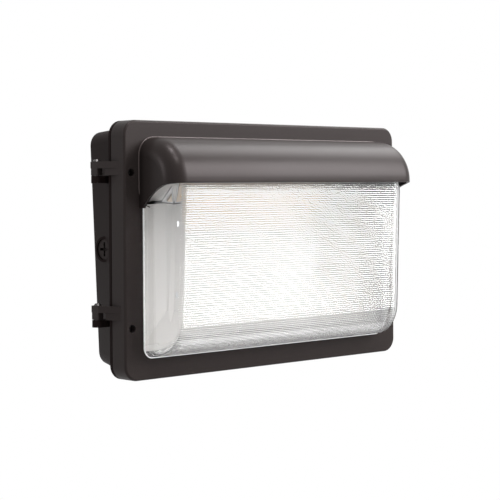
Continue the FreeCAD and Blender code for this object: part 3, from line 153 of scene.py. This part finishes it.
class Graph:
    """The nodes of a material or of the world: node() adds any node."""

    def __init__(self, tree):
        self.tree = tree
        tree.nodes.clear()

    def node(self, kind, settings=None, inputs=None, output=0):
        made = self.tree.nodes.new(kind)
        for name, value in (settings or {}).items():
            setattr(made, name, value)
        for name, value in (inputs or {}).items():
            self.feed(made.inputs[name], value)
        return Value(self, made.outputs[output])

    def feed(self, socket, value):
        if isinstance(value, Value):
            self.tree.links.new(value.socket, socket)
        elif isinstance(value, (tuple, list)) and socket.type == "RGBA":
            socket.default_value = (*value[:3], 1)
        else:
            socket.default_value = value

    def show(self, surface, kind):
        """Joins the surface to an output node of this kind."""
        made = self.tree.nodes.new(kind)
        self.feed(made.inputs["Surface"], surface)


class Paint(Graph):
    def __init__(self, name):
        self.material = bpy.data.materials.new(name)
        self.material.use_nodes = True
        super().__init__(self.material.node_tree)
        self.place = self.node("ShaderNodeTexCoord", output="Object")

    def noise(self, scale, detail=3, roughness=0.5):
        return self.node("ShaderNodeTexNoise", None, {
            "Vector": self.place, "Scale": scale, "Detail": detail, "Roughness": roughness})

    def mix(self, share, first, second):
        made = self.tree.nodes.new("ShaderNodeMix")
        made.data_type = "RGBA"
        self.feed(made.inputs["Factor"], share)
        self.feed(made.inputs["A"], first)
        self.feed(made.inputs["B"], second)
        return Value(self, made.outputs["Result"])

    def bump(self, height, strength, distance):
        return self.node("ShaderNodeBump", None, {
            "Height": height, "Strength": strength, "Distance": distance}, "Normal")

    def shader(self, **inputs):
        named = {name.replace("_", " "): value for name, value in inputs.items()}
        return self.node("ShaderNodeBsdfPrincipled", None, named)

    def finish(self, surface):
        self.show(surface, "ShaderNodeOutputMaterial")
        return self.material


def tinted(colour, factor):
    """A colour made lighter or darker."""
    return tuple(min(1, part * factor) for part in colour)


WARM_SHINE = (1.0, 0.88, 0.90)
LENS_SHADOW = (0.46, 0.46, 0.46)


def powder_coat(name, colour, roughness, shine, peel):
    """Baked powder coat: even colour, fine orange peel, paler flakes in it and a faint warm shine."""
    paint = Paint(name)
    cloud = paint.noise(14, 3)
    grain = paint.noise(1500, 2)
    peel_height = paint.noise(620, 2, 0.55)
    shade = paint.mix(cloud, tinted(colour, 0.86), tinted(colour, 1.14))
    shade = paint.mix((grain > 0.62) * 0.22, shade, tinted(colour, 2.0))
    gloss = roughness - 0.05 + cloud * 0.07 + grain * 0.04
    return paint.finish(paint.shader(
        Base_Color=shade, Roughness=gloss, Specular_IOR_Level=shine, Specular_Tint=WARM_SHINE,
        Normal=paint.bump(peel_height + grain * 0.3, peel, 0.00022)))


def moulded_clear(name):
    """Clear polycarbonate with the faint haze and flow marks of a moulding.

    Lamps shine straight through it, dimmed by LENS_SHADOW at each skin they pass.
    """
    paint = Paint(name)
    haze = paint.noise(38, 3)
    flow = paint.noise(9, 2)
    clear = paint.shader(
        Base_Color=paint.mix(haze, (0.97, 0.975, 0.975), (1.0, 1.0, 1.0)),
        Roughness=0.012 + haze * 0.03, IOR=1.58, Transmission_Weight=1.0,
        Normal=paint.bump(flow, 0.08, 0.0006))
    shadow = paint.node("ShaderNodeLightPath", output="Is Shadow Ray")
    through = paint.node("ShaderNodeBsdfTransparent", None, {"Color": LENS_SHADOW})
    return paint.finish(paint.node("ShaderNodeMixShader", None, {0: shadow, 1: clear, 2: through}))


def frosted(name):
    """Ground edge of the clear moulding; a faint glow stands for the light that the lens carries to it."""
    paint = Paint(name)
    grain = paint.noise(700, 2)
    return paint.finish(paint.shader(
        Base_Color=paint.mix(grain, (0.70, 0.71, 0.72), (0.95, 0.95, 0.95)),
        Roughness=0.16 + grain * 0.2, Coat_Weight=0.4,
        Emission_Color=(0.9, 0.9, 0.9), Emission_Strength=0.22,
        Normal=paint.bump(grain, 0.1, 0.0001)))


def enamel(name, colour, roughness):
    """White baked enamel on thin sheet."""
    paint = Paint(name)
    cloud = paint.noise(22, 3)
    peel = paint.noise(420, 2)
    return paint.finish(paint.shader(
        Base_Color=paint.mix(cloud, tinted(colour, 0.96), colour),
        Roughness=roughness + cloud * 0.08,
        Normal=paint.bump(peel, 0.18, 0.0002)))


def rolled_metal(name, colour, roughness):
    """Bare or plated metal: brushed one way, slightly stained."""
    paint = Paint(name)
    grain_place = paint.node("ShaderNodeMapping", None, {
        "Vector": paint.place, "Scale": (14.0, 900.0, 900.0)})
    grain = paint.node("ShaderNodeTexNoise", None, {"Vector": grain_place, "Scale": 1.0, "Detail": 3.0})
    stain = paint.noise(35, 3)
    return paint.finish(paint.shader(
        Base_Color=paint.mix(stain, tinted(colour, 0.8), colour), Metallic=1.0,
        Roughness=roughness - 0.06 + grain * 0.12 + stain * 0.06,
        Normal=paint.bump(grain, 0.15, 0.0001)))


def rubber(name, colour):
    """Matt moulded silicone."""
    paint = Paint(name)
    dust = paint.noise(260, 3)
    return paint.finish(paint.shader(
        Base_Color=paint.mix(dust, tinted(colour, 0.8), tinted(colour, 1.5)),
        Roughness=0.62 + dust * 0.2, Normal=paint.bump(dust, 0.2, 0.0002)))


def plastic(name, colour, roughness):
    """Moulded plastic with a spark-eroded skin."""
    paint = Paint(name)
    skin = paint.noise(1100, 2)
    cloud = paint.noise(40, 2)
    return paint.finish(paint.shader(
        Base_Color=paint.mix(cloud, tinted(colour, 0.92), tinted(colour, 1.05)),
        Roughness=roughness + skin * 0.1, Normal=paint.bump(skin, 0.25, 0.0001)))


def phosphor(name, colour):
    """Speckled yellow phosphor under clear silicone."""
    paint = Paint(name)
    speckle = paint.noise(2600, 2)
    return paint.finish(paint.shader(
        Base_Color=paint.mix(speckle, tinted(colour, 0.85), tinted(colour, 1.1)),
        Roughness=0.22 + speckle * 0.15, Coat_Weight=0.5,
        Normal=paint.bump(speckle, 0.1, 0.0001)))


# ---------------------------------------------------------------- finishes of the CAD parts

def give(names, material):
    """The parts of these names take one material."""
    for name in names:
        slots = NODES[name].data.materials
        slots.clear()
        slots.append(material)


class WALLPACK_OT_castings(Operator):
    """Powder coat on the cast parts and the parts that are painted with them"""

    bl_idname = "wallpack.castings"
    bl_label = "Paint castings"

    def execute(self, context):
        colours = context.scene.wall_pack_paint
        bronze = tuple(colours.bronze)
        # The housing takes the darker copy of the bronze: painted shade.
        give(["rear_housing"], powder_coat("bronze_housing_painted_shade", tuple(colours.housing_bronze_painted_shade), 0.48, 0.02, 0.4))
        give(["door_frame"], powder_coat("bronze_door", bronze, 0.42, 0.11, 0.35))
        give(["visor"], powder_coat("bronze_visor", tinted(bronze, 0.95), 0.33, 0.12, 0.2))
        give(["entry_plugs"], powder_coat("bronze_plug", bronze, 0.46, 0.08, 0.4))
        return {"FINISHED"}


# ---------------------------------------------------------------- lens

# Sizes of the CAD model's door, visor and lens, in millimetres; depths are measured from the wall.
FACE = 71.0
LENS_REAR = 66.3
RIM_REAR = 63.3
LENS_SIDE = 158.5
LENS_HIGH = 86.5
LENS_LOW = -97.0
LENS_NOSE = 113.0
LENS_ROUND = 34.0
LENS_END = 9.0
LENS_WALL = 3.6
RIM_REACH = 3.0
LEAN = math.tan(math.radians(2.6))
DRAFT = math.tan(math.radians(12))
VISOR_SIDE = 163.5
VISOR_HIGH = 102.0
VISOR_ROUND = 17.0

# The prisms begin with a small step, part of the way round each end.
PRISM_STEP = 0.35
PRISM_STEP_LANES = 3
PRISM_TURN = math.radians(32)
END_LANES = 6
LENS_EDGE_ANGLE = math.radians(48)
POINTS_PER_RIB = 6
POINTS_PER_FLUTE = 5
FLUTE_ROWS = 90
FLAT_LANES = [-120, -60, 0, 60, 120]

# The flutes deepen from left to right between these two places across the lens.
SHALLOW_SHARE = 0.2
SHALLOW_PLACE = -40
DEEP_PLACE = 130

# The beads: their radius, and for the visor how low its bead reaches and how far outside it lies.
LENS_BEAD = 0.6
VISOR_BEAD = 0.55
VISOR_BEAD_LOW = 38.5
VISOR_BEAD_OUT = 0.4
VISOR_BEAD_DEEP = 0.3
BEAD_EDGE_ANGLE = math.radians(50)

# White sheets behind the lens.
LIP_DEPTH = 59.6
LIP_THICK = 1
LIP_SIDE_MIDDLE = 152.6
LIP_SIDE_WIDE = 9.8
LIP_SIDE_PLACE = -27.3
LIP_SIDE_TALL = 136.6
LIP_FOOT_PLACE = -91.7
LIP_FOOT_TALL = 7.8
SHIELD_PLACE = (130.5, -47.5, 57.5)
SHIELD_SIZE = (52, 38, 1)
SHIELD_TILT = -45
SHEET_EDGE = 0.25


class RoundedPath:
    """An open outline with rounded corners that can be read at any distance along it."""

    def __init__(self, corners, radius):
        corners = [Vector(corner) for corner in corners]
        self.parts = []
        start = corners[0]
        for before, corner, after in zip(corners, corners[1:], corners[2:]):
            back = (before - corner).normalized()
            ahead = (after - corner).normalized()
            half = back.angle(ahead) / 2
            reach = radius / math.tan(half)
            middle = corner + (back + ahead).normalized() * radius / math.sin(half)
            bend = (corner + back * reach, corner + ahead * reach)
            self.parts.append((start, bend[0], None, (bend[0] - start).length))
            self.parts.append((*bend, middle, radius * (math.pi - 2 * half)))
            start = bend[1]
        self.parts.append((start, corners[-1], None, (corners[-1] - start).length))
        self.length = sum(part[3] for part in self.parts)

    def read(self, distance):
        """Point and outward direction at a distance from the start."""
        for start, end, middle, length in self.parts:
            if distance <= length:
                break
            distance -= length
        share = min(distance / length, 1)
        if middle is None:
            heading = (end - start).normalized()
            return start.lerp(end, share), Vector((heading.y, -heading.x))
        outward = (start - middle).normalized().slerp((end - middle).normalized(), share)
        return middle + outward * (start - middle).length, outward


def lens_path(shrink):
    """Side view of the lens as (y, z), from the rear of its top round its front to the rear of its foot."""
    top = LENS_HIGH - shrink
    low = LENS_LOW + shrink
    nose = -LENS_NOSE + shrink
    rear = -RIM_REAR if shrink else -LENS_REAR
    return RoundedPath([(rear, top), (nose, top), (nose + (top - low) * LEAN, low), (rear, low)],
                       LENS_ROUND - shrink)


def wave(distance, pitch, depth):
    """Height of a row of round prisms."""
    return -depth * (0.5 + 0.5 * math.cos(2 * math.pi * distance / pitch))


def shape_skin(rows, row_step, lanes, path, shrink, ribs, flutes):
    """Points of one skin of the lens, row by row.

    A lane is (side, turn, inset, ribbed): on an end it has a side of 1 or -1, its turn round the end
    and a distance in from there; between the ends its side is 0 and its inset is its place. The flutes
    deepen towards the right, because the photo shows them strongest there; on the ends they are as deep
    as at the lens' middle.
    """
    points = []
    end = LENS_END - shrink
    for row in range(rows + 1):
        place, outward = path.read(row * row_step)
        rib = wave(row * row_step, *ribs)
        for side, turn, inset, ribbed in lanes:
            across = (inset - SHALLOW_PLACE) / (DEEP_PLACE - SHALLOW_PLACE)
            deepening = SHALLOW_SHARE + (1 - SHALLOW_SHARE) * min(1, max(0, across))
            lift = (rib + wave(0 if side else inset, *flutes) * deepening) * ribbed
            spot = place - outward * (end * (1 - math.cos(turn)) - lift)
            half = LENS_SIDE - shrink - (-spot.x - FACE) * DRAFT
            x = side * (half - end * (1 - math.sin(turn)) - inset) if side else inset
            points.append((x * MM, spot.x * MM, spot.y * MM))
    return points


def lens_lanes(flats, start):
    """Lanes from the left end round over the prisms to the right end round; they begin at the turn start."""
    quarter = math.pi / 2
    rounds = [(quarter - (quarter - start) * step / END_LANES, 0, False) for step in range(END_LANES + 1)]
    rounds += [(start * (1 - step / PRISM_STEP_LANES), PRISM_STEP, True)
               for step in range(PRISM_STEP_LANES + 1)]
    left = [(-1, *lane) for lane in rounds]
    right = [(1, *lane) for lane in reversed(rounds)]
    return left + [(0, 0, flat, True) for flat in flats] + right


def select_points(item, wanted):
    """Edit mode with just the wanted vertices selected; wanted(index, place) says which."""
    bpy.context.view_layer.objects.active = item
    bpy.ops.object.mode_set(mode="EDIT")
    bpy.ops.mesh.select_mode(type="VERT")
    bpy.ops.mesh.select_all(action="DESELECT")
    bpy.ops.object.mode_set(mode="OBJECT")
    for vertex in item.data.vertices:
        vertex.select = wanted(vertex.index, vertex.co)
    bpy.ops.object.mode_set(mode="EDIT")


def add_skin(name, rows, lanes, points):
    """A grid laid over the given points, with its two ends closed."""
    bpy.ops.object.select_all(action="DESELECT")
    bpy.ops.mesh.primitive_grid_add(x_subdivisions=len(lanes) - 1, y_subdivisions=rows, size=1)
    skin = bpy.context.object
    skin.name = name
    mesh = skin.data
    mesh.vertices.foreach_set("co", [part for point in points for part in point])
    mesh.update()
    for lane in (0, len(lanes) - 1):
        select_points(skin, lambda index, place: index % len(lanes) == lane)
        bpy.ops.mesh.edge_face_add()
        bpy.ops.object.mode_set(mode="OBJECT")
    return skin


def add_piping(name, outline, depth, corner, radius, closed):
    """A round bead along a rectangle with rounded corners, parallel to the wall.

    The outline is (half width, low, high). A bead that isn't closed is round at its top corners only and
    has no stretch along its foot.
    """
    half, low, high = outline
    bpy.ops.object.select_all(action="DESELECT")
    place = (0, -depth * MM, (low + high) / 2 * MM)
    bpy.ops.mesh.primitive_plane_add(size=1, location=place, rotation=(math.pi / 2, 0, 0))
    item = bpy.context.object
    item.name = name
    bpy.ops.transform.resize(value=(2 * half * MM, 1, (high - low) * MM))
    bpy.ops.object.transform_apply(location=True, rotation=True, scale=True)
    select_points(item, lambda index, place: closed or place.z > 0)
    bpy.ops.mesh.bevel(offset=corner * MM, segments=8, affect="VERTICES")
    bpy.ops.mesh.select_all(action="SELECT")
    bpy.ops.mesh.delete(type="ONLY_FACE")
    bpy.ops.object.mode_set(mode="OBJECT")
    if not closed:
        select_points(item, lambda index, place: place.z < (low + 1) * MM)
        bpy.ops.mesh.select_mode(type="EDGE")
        bpy.ops.mesh.delete(type="EDGE")
        bpy.ops.object.mode_set(mode="OBJECT")
    bpy.ops.object.convert(target="CURVE")
    item.data.bevel_depth = radius * MM
    item.data.bevel_resolution = 2
    item.data.use_fill_caps = True
    bpy.ops.object.convert(target="MESH")
    bpy.ops.object.shade_smooth_by_angle(angle=BEAD_EDGE_ANGLE)
    return item


class WALLPACK_OT_trim(Operator):
    """Raised bead round the foot of the visor; its paler coat is a painted highlight"""

    bl_idname = "wallpack.trim"
    bl_label = "Add visor bead"

    def execute(self, context):
        bronze = tuple(context.scene.wall_pack_paint.bronze)
        outline = (VISOR_SIDE + VISOR_BEAD_OUT, VISOR_BEAD_LOW, VISOR_HIGH + VISOR_BEAD_OUT)
        bead = add_piping("visor_bead", outline, FACE + VISOR_BEAD_DEEP, VISOR_ROUND, VISOR_BEAD, False)
        # The bead takes the visor's bronze made 3.4 times paler: a painted highlight along the visor's foot.
        bead.data.materials.append(powder_coat("bronze_bead_painted_highlight", tinted(bronze, 3.4), 0.3, 0.4, 0.35))
        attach(bead, "door")
        return {"FINISHED"}


def add_plate(name, place, size, tilt=0):
    """A thin sheet with eased edges; place and size in millimetres, tilt in degrees about X."""
    bpy.ops.object.select_all(action="DESELECT")
    bpy.ops.mesh.primitive_cube_add(size=1, location=[part * MM for part in place],
                                    rotation=(math.radians(tilt), 0, 0))
    item = bpy.context.object
    item.name = name
    item.scale = [part * MM for part in size]
    bpy.ops.object.transform_apply(location=True, rotation=True, scale=True)
    bpy.ops.object.mode_set(mode="EDIT")
    bpy.ops.mesh.bevel(offset=SHEET_EDGE * MM, segments=2)
    bpy.ops.object.mode_set(mode="OBJECT")
    return item


class WALLPACK_OT_sheet(Operator):
    """White lip round the reflector's mouth and white shields beside the light board, in an enamel lighter
    than the reflector's: painted light
    """

    bl_idname = "wallpack.sheet"
    bl_label = "Add reflector lip"

    def execute(self, context):
        # Lip and shields take the reflector's white made 1.22 times lighter: painted light inside the lens.
        white = enamel("white_lip_painted_light", tinted(context.scene.wall_pack_paint.sheet_white, 1.22), 0.38)
        sides = [add_plate("lip_side", (side * LIP_SIDE_MIDDLE, -LIP_DEPTH, LIP_SIDE_PLACE),
                           (LIP_SIDE_WIDE, LIP_THICK, LIP_SIDE_TALL)) for side in (-1, 1)]
        foot = add_plate("lip_foot", (0, -LIP_DEPTH, LIP_FOOT_PLACE),
                         (2 * LIP_SIDE_MIDDLE - LIP_SIDE_WIDE, LIP_THICK, LIP_FOOT_TALL))
        lip = self.joined("reflector_lip", [*sides, foot])
        across, deep, high = SHIELD_PLACE
        shields = self.joined("board_shields", [
            add_plate("shield", (side * across, deep, high), SHIELD_SIZE, SHIELD_TILT) for side in (-1, 1)])
        for item in (lip, shields):
            item.data.materials.append(white)
            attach(item, "housing")
        return {"FINISHED"}

    def joined(self, name, plates):
        bpy.ops.object.select_all(action="DESELECT")
        for plate in plates:
            plate.select_set(True)
        bpy.context.view_layer.objects.active = plates[0]
        bpy.ops.object.join()
        plates[0].name = name
        return plates[0]


class WALLPACK_OT_lens(Operator):
    """Clear lens with level prisms outside and upright prisms inside"""

    bl_idname = "wallpack.lens"
    bl_label = "Mould lens"

    def execute(self, context):
        settings = context.scene.wall_pack_lens
        outside = self.add_outside(settings)
        inside = self.add_inside(settings)
        bpy.ops.object.select_all(action="DESELECT")
        inside.select_set(True)
        outside.select_set(True)
        context.view_layer.objects.active = outside
        bpy.ops.object.join()
        self.close_rim(outside)
        self.add_foot()
        outside.name = "ribbed_lens"
        outside.data.materials.append(moulded_clear("clear_lens"))
        bpy.ops.object.select_all(action="DESELECT")
        outside.select_set(True)
        bpy.ops.object.shade_smooth_by_angle(angle=LENS_EDGE_ANGLE)
        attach(outside, "door")
        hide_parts("lens")
        return {"FINISHED"}

    def add_outside(self, settings):
        """Outer skin; its level prisms run across the top, the front and the foot."""
        path = lens_path(0)
        rows = round(path.length / settings.rib_pitch) * POINTS_PER_RIB
        lanes = lens_lanes(FLAT_LANES, PRISM_TURN)
        ribs = (path.length * POINTS_PER_RIB / rows, settings.rib_depth)
        points = shape_skin(rows, path.length / rows, lanes, path, 0, ribs, (1, 0))
        return add_skin("lens_outside", rows, lanes, points)

    def add_inside(self, settings):
        """Inner skin; its upright prisms run from top to foot."""
        path = lens_path(LENS_WALL)
        half = LENS_SIDE - LENS_WALL - (LENS_NOSE - FACE) * DRAFT - LENS_END
        flutes_each_side = int(half / settings.flute_pitch)
        count = 2 * flutes_each_side * POINTS_PER_FLUTE
        flats = [(step / POINTS_PER_FLUTE - flutes_each_side) * settings.flute_pitch
                 for step in range(count + 1)]
        lanes = lens_lanes(flats, 0)
        flutes = (settings.flute_pitch, -settings.flute_depth)
        points = shape_skin(FLUTE_ROWS, path.length / FLUTE_ROWS, lanes, path, LENS_WALL, (1, 0), flutes)
        return add_skin("lens_inside", FLUTE_ROWS, lanes, points)

    def add_foot(self):
        """Frosted bead where the lens meets the door."""
        outline = (LENS_SIDE + LENS_BEAD, LENS_LOW - LENS_BEAD, LENS_HIGH + LENS_BEAD)
        bead = add_piping("lens_bead", outline, FACE + LENS_BEAD, LENS_END, LENS_BEAD, True)
        bead.data.materials.append(frosted("frosted_edge"))
        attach(bead, "door")

    def close_rim(self, lens):
        """Rim behind the door's face, between the open rear edges of both skins."""
        rear = -LENS_REAR * MM
        middle = (0, rear, (LENS_HIGH + LENS_LOW) / 2 * MM)
        select_points(lens, lambda index, place: abs(place.y - rear) < SAME_PLACE)
        bpy.ops.mesh.extrude_edges_move()
        wide = (LENS_SIDE + RIM_REACH) / (LENS_SIDE + (FACE - LENS_REAR) * DRAFT)
        tall = 1 + 2 * RIM_REACH / (LENS_HIGH - LENS_LOW)
        bpy.ops.transform.resize(value=(wide, 1, tall), center_override=middle)
        back = (0, (LENS_REAR - RIM_REAR) * MM, 0)
        bpy.ops.mesh.extrude_edges_move(TRANSFORM_OT_translate={"value": back})
        bpy.ops.object.mode_set(mode="OBJECT")
        select_points(lens, lambda index, place: abs(place.y + RIM_REAR * MM) < SAME_PLACE)
        bpy.ops.mesh.fill(use_beauty=False)
        bpy.ops.mesh.select_all(action="SELECT")
        bpy.ops.mesh.normals_make_consistent(inside=False)
        bpy.ops.object.mode_set(mode="OBJECT")


class WALLPACK_OT_inside(Operator):
    """Finishes of the reflector, light board, driver and terminals"""

    bl_idname = "wallpack.inside"
    bl_label = "Finish inside"

    def execute(self, context):
        colours = context.scene.wall_pack_paint
        give(["reflector"], enamel("white_enamel", tuple(colours.sheet_white), 0.38))
        give(["light_bracket"], rolled_metal("bare_aluminium", (0.77, 0.77, 0.78), 0.36))
        # The board's warm tint is painted glow of its light sources.
        give(["light_board"], enamel("board_mask_painted_glow", tuple(colours.board), 0.3))
        give(["light_sources"], phosphor("phosphor", tuple(colours.phosphor)))
        give(["led_driver"], enamel("driver_case", (0.55, 0.56, 0.57), 0.42))
        give(["terminal_block"], plastic("terminal_nylon", (0.62, 0.61, 0.56), 0.38))
        return {"FINISHED"}


class WALLPACK_OT_fasteners(Operator):
    """Finishes of screws, pins and clamps"""

    bl_idname = "wallpack.fasteners"
    bl_label = "Finish fasteners"

    def execute(self, context):
        zinc = rolled_metal("zinc_plate", (0.66, 0.67, 0.69), 0.3)
        dark = rolled_metal("black_zinc", (0.09, 0.085, 0.085), 0.36)
        give(["reflector_screws", "bracket_screws", "terminal_screws", "clamp_screws", "lens_clamps",
              "driver_screws"], zinc)
        give(["visor_screws", "hinge_pins"], dark)
        give([name for name in NODES if name.startswith("door_screw")], dark)
        give(["ground_screw"], plastic("ground_green", (0.03, 0.22, 0.06), 0.35))
        return {"FINISHED"}


class WALLPACK_OT_seals(Operator):
    """Silicone of the gaskets"""

    bl_idname = "wallpack.seals"
    bl_label = "Finish seals"

    def execute(self, context):
        colour = tuple(context.scene.wall_pack_paint.seal)
        give(["door_gasket", "lens_gasket", "wall_gasket"], rubber("silicone", colour))
        return {"FINISHED"}


# ---------------------------------------------------------------- stage

FLOOR_HEIGHT = -1.3
FLOOR_SIZE = 30
FLOOR_COLOUR = (0.9, 0.9, 0.9)
WHITE = (1, 1, 1)

# Name, place, width and share of the key's power of each lamp; all of them look at the light's middle.
LAMPS = (
    ("key", (1.11, -1.19, 0.72), 0.9, 1),
    ("right", (1.25, -0.05, 1.35), 0.9, 0.42),
    ("top", (-0.1, -0.35, 1.75), 0.3, 0.4),
    ("front", (-0.2, -0.95, 1.4), 0.3, 0.24),
    ("left", (-1.5, 0.4, 0.45), 0.45, 0.12),
)


def white_for_viewer(graph, lit, glow):
    """A surface that the camera, mirrors and glass see as plain white.

    Light that has already met a matt surface gets the lit surface instead, so the white adds none inside.
    """
    seen = graph.node("ShaderNodeLightPath", output="Is Camera Ray")
    for ray in ("Is Glossy Ray", "Is Transmission Ray"):
        seen = seen + graph.node("ShaderNodeLightPath", output=ray)
    first = graph.node("ShaderNodeLightPath", output="Diffuse Depth") < 0.5
    return graph.node("ShaderNodeMixShader", None, {0: (seen > 0.5) * first, 1: lit, 2: glow})


class WALLPACK_OT_stage(Operator):
    """Camera, floor and soft light"""

    bl_idname = "wallpack.stage"
    bl_label = "Set stage"

    def execute(self, context):
        settings = context.scene.wall_pack_stage
        self.add_camera(context, settings)
        self.add_world(context, settings)
        self.add_floor()
        self.add_lamps(settings)
        context.scene.view_settings.view_transform = "Standard"
        return {"FINISHED"}

    def add_camera(self, context, settings):
        bpy.ops.object.camera_add()
        camera = context.object
        camera.name = "camera"
        camera.data.lens = settings.focal_length
        camera.data.shift_y = settings.shift
        ahead = Vector((-math.sin(settings.azimuth), math.cos(settings.azimuth), 0))
        level = Vector((ahead.y, -ahead.x, 0))
        upward = Vector((0, 0, 1))
        right = math.cos(settings.roll) * level - math.sin(settings.roll) * upward
        top = math.cos(settings.roll) * upward + math.sin(settings.roll) * level
        turn = Matrix((right, top, -ahead)).transposed().to_4x4()
        camera.matrix_world = Matrix.Translation(settings.place) @ turn
        camera.data.clip_start = 0.01
        context.scene.camera = camera

    def add_world(self, context, settings):
        world = bpy.data.worlds.new("studio")
        world.use_nodes = True
        context.scene.world = world
        graph = Graph(world.node_tree)
        soft = graph.node("ShaderNodeBackground", None, {"Color": WHITE, "Strength": settings.sky})
        white = graph.node("ShaderNodeBackground", None, {"Color": WHITE, "Strength": 1})
        graph.show(white_for_viewer(graph, soft, white), "ShaderNodeOutputWorld")

    def add_floor(self):
        bpy.ops.mesh.primitive_plane_add(size=FLOOR_SIZE, location=(0, 0, FLOOR_HEIGHT))
        floor = bpy.context.object
        floor.name = "floor"
        paint = Paint("floor_white")
        pale = paint.node("ShaderNodeBsdfDiffuse", None, {"Color": FLOOR_COLOUR})
        glow = paint.node("ShaderNodeEmission", None, {"Color": WHITE, "Strength": 1})
        floor.data.materials.append(paint.finish(white_for_viewer(paint, pale, glow)))

    def add_lamps(self, settings):
        for name, place, size, share in LAMPS:
            self.add_lamp(name, place, size, settings.key * share)

    def add_lamp(self, name, place, size, power):
        bpy.ops.object.light_add(type="AREA", location=place)
        lamp = bpy.context.object
        lamp.name = name
        lamp.data.size = size
        lamp.data.energy = power
        lamp.rotation_euler = (-Vector(place)).to_track_quat("-Z", "Y").to_euler()


class WALLPACK_PT_panel(Panel):
    """Sidebar panel of the wall pack light"""

    bl_label = "Wall Pack Light"
    bl_idname = "WALLPACK_PT_panel"
    bl_space_type = "VIEW_3D"
    bl_region_type = "UI"
    bl_category = "Wall Pack"

    def draw(self, context):
        for operator in OPERATORS:
            self.layout.operator(operator.bl_idname)
        scene = context.scene
        for group in (scene.wall_pack_paint, scene.wall_pack_lens, scene.wall_pack_stage):
            for name in group.__annotations__:
                self.layout.prop(group, name)


OPERATORS = (WALLPACK_OT_castings, WALLPACK_OT_trim, WALLPACK_OT_lens, WALLPACK_OT_sheet,
             WALLPACK_OT_inside, WALLPACK_OT_fasteners, WALLPACK_OT_seals, WALLPACK_OT_stage)
CLASSES = (PaintSettings, LensSettings, StageSettings, *OPERATORS, WALLPACK_PT_panel)


def register():
    for item in CLASSES:
        bpy.utils.register_class(item)
    bpy.types.Scene.wall_pack_paint = PointerProperty(type=PaintSettings)
    bpy.types.Scene.wall_pack_lens = PointerProperty(type=LensSettings)
    bpy.types.Scene.wall_pack_stage = PointerProperty(type=StageSettings)


def unregister():
    del bpy.types.Scene.wall_pack_stage
    del bpy.types.Scene.wall_pack_lens
    del bpy.types.Scene.wall_pack_paint
    for item in reversed(CLASSES):
        bpy.utils.unregister_class(item)


def main():
    register()
    bpy.ops.object.select_all(action="DESELECT")
    for operator in OPERATORS:
        folder, call = operator.bl_idname.split(".")
        getattr(getattr(bpy.ops, folder), call)()


if __name__ == "__main__":
    main()
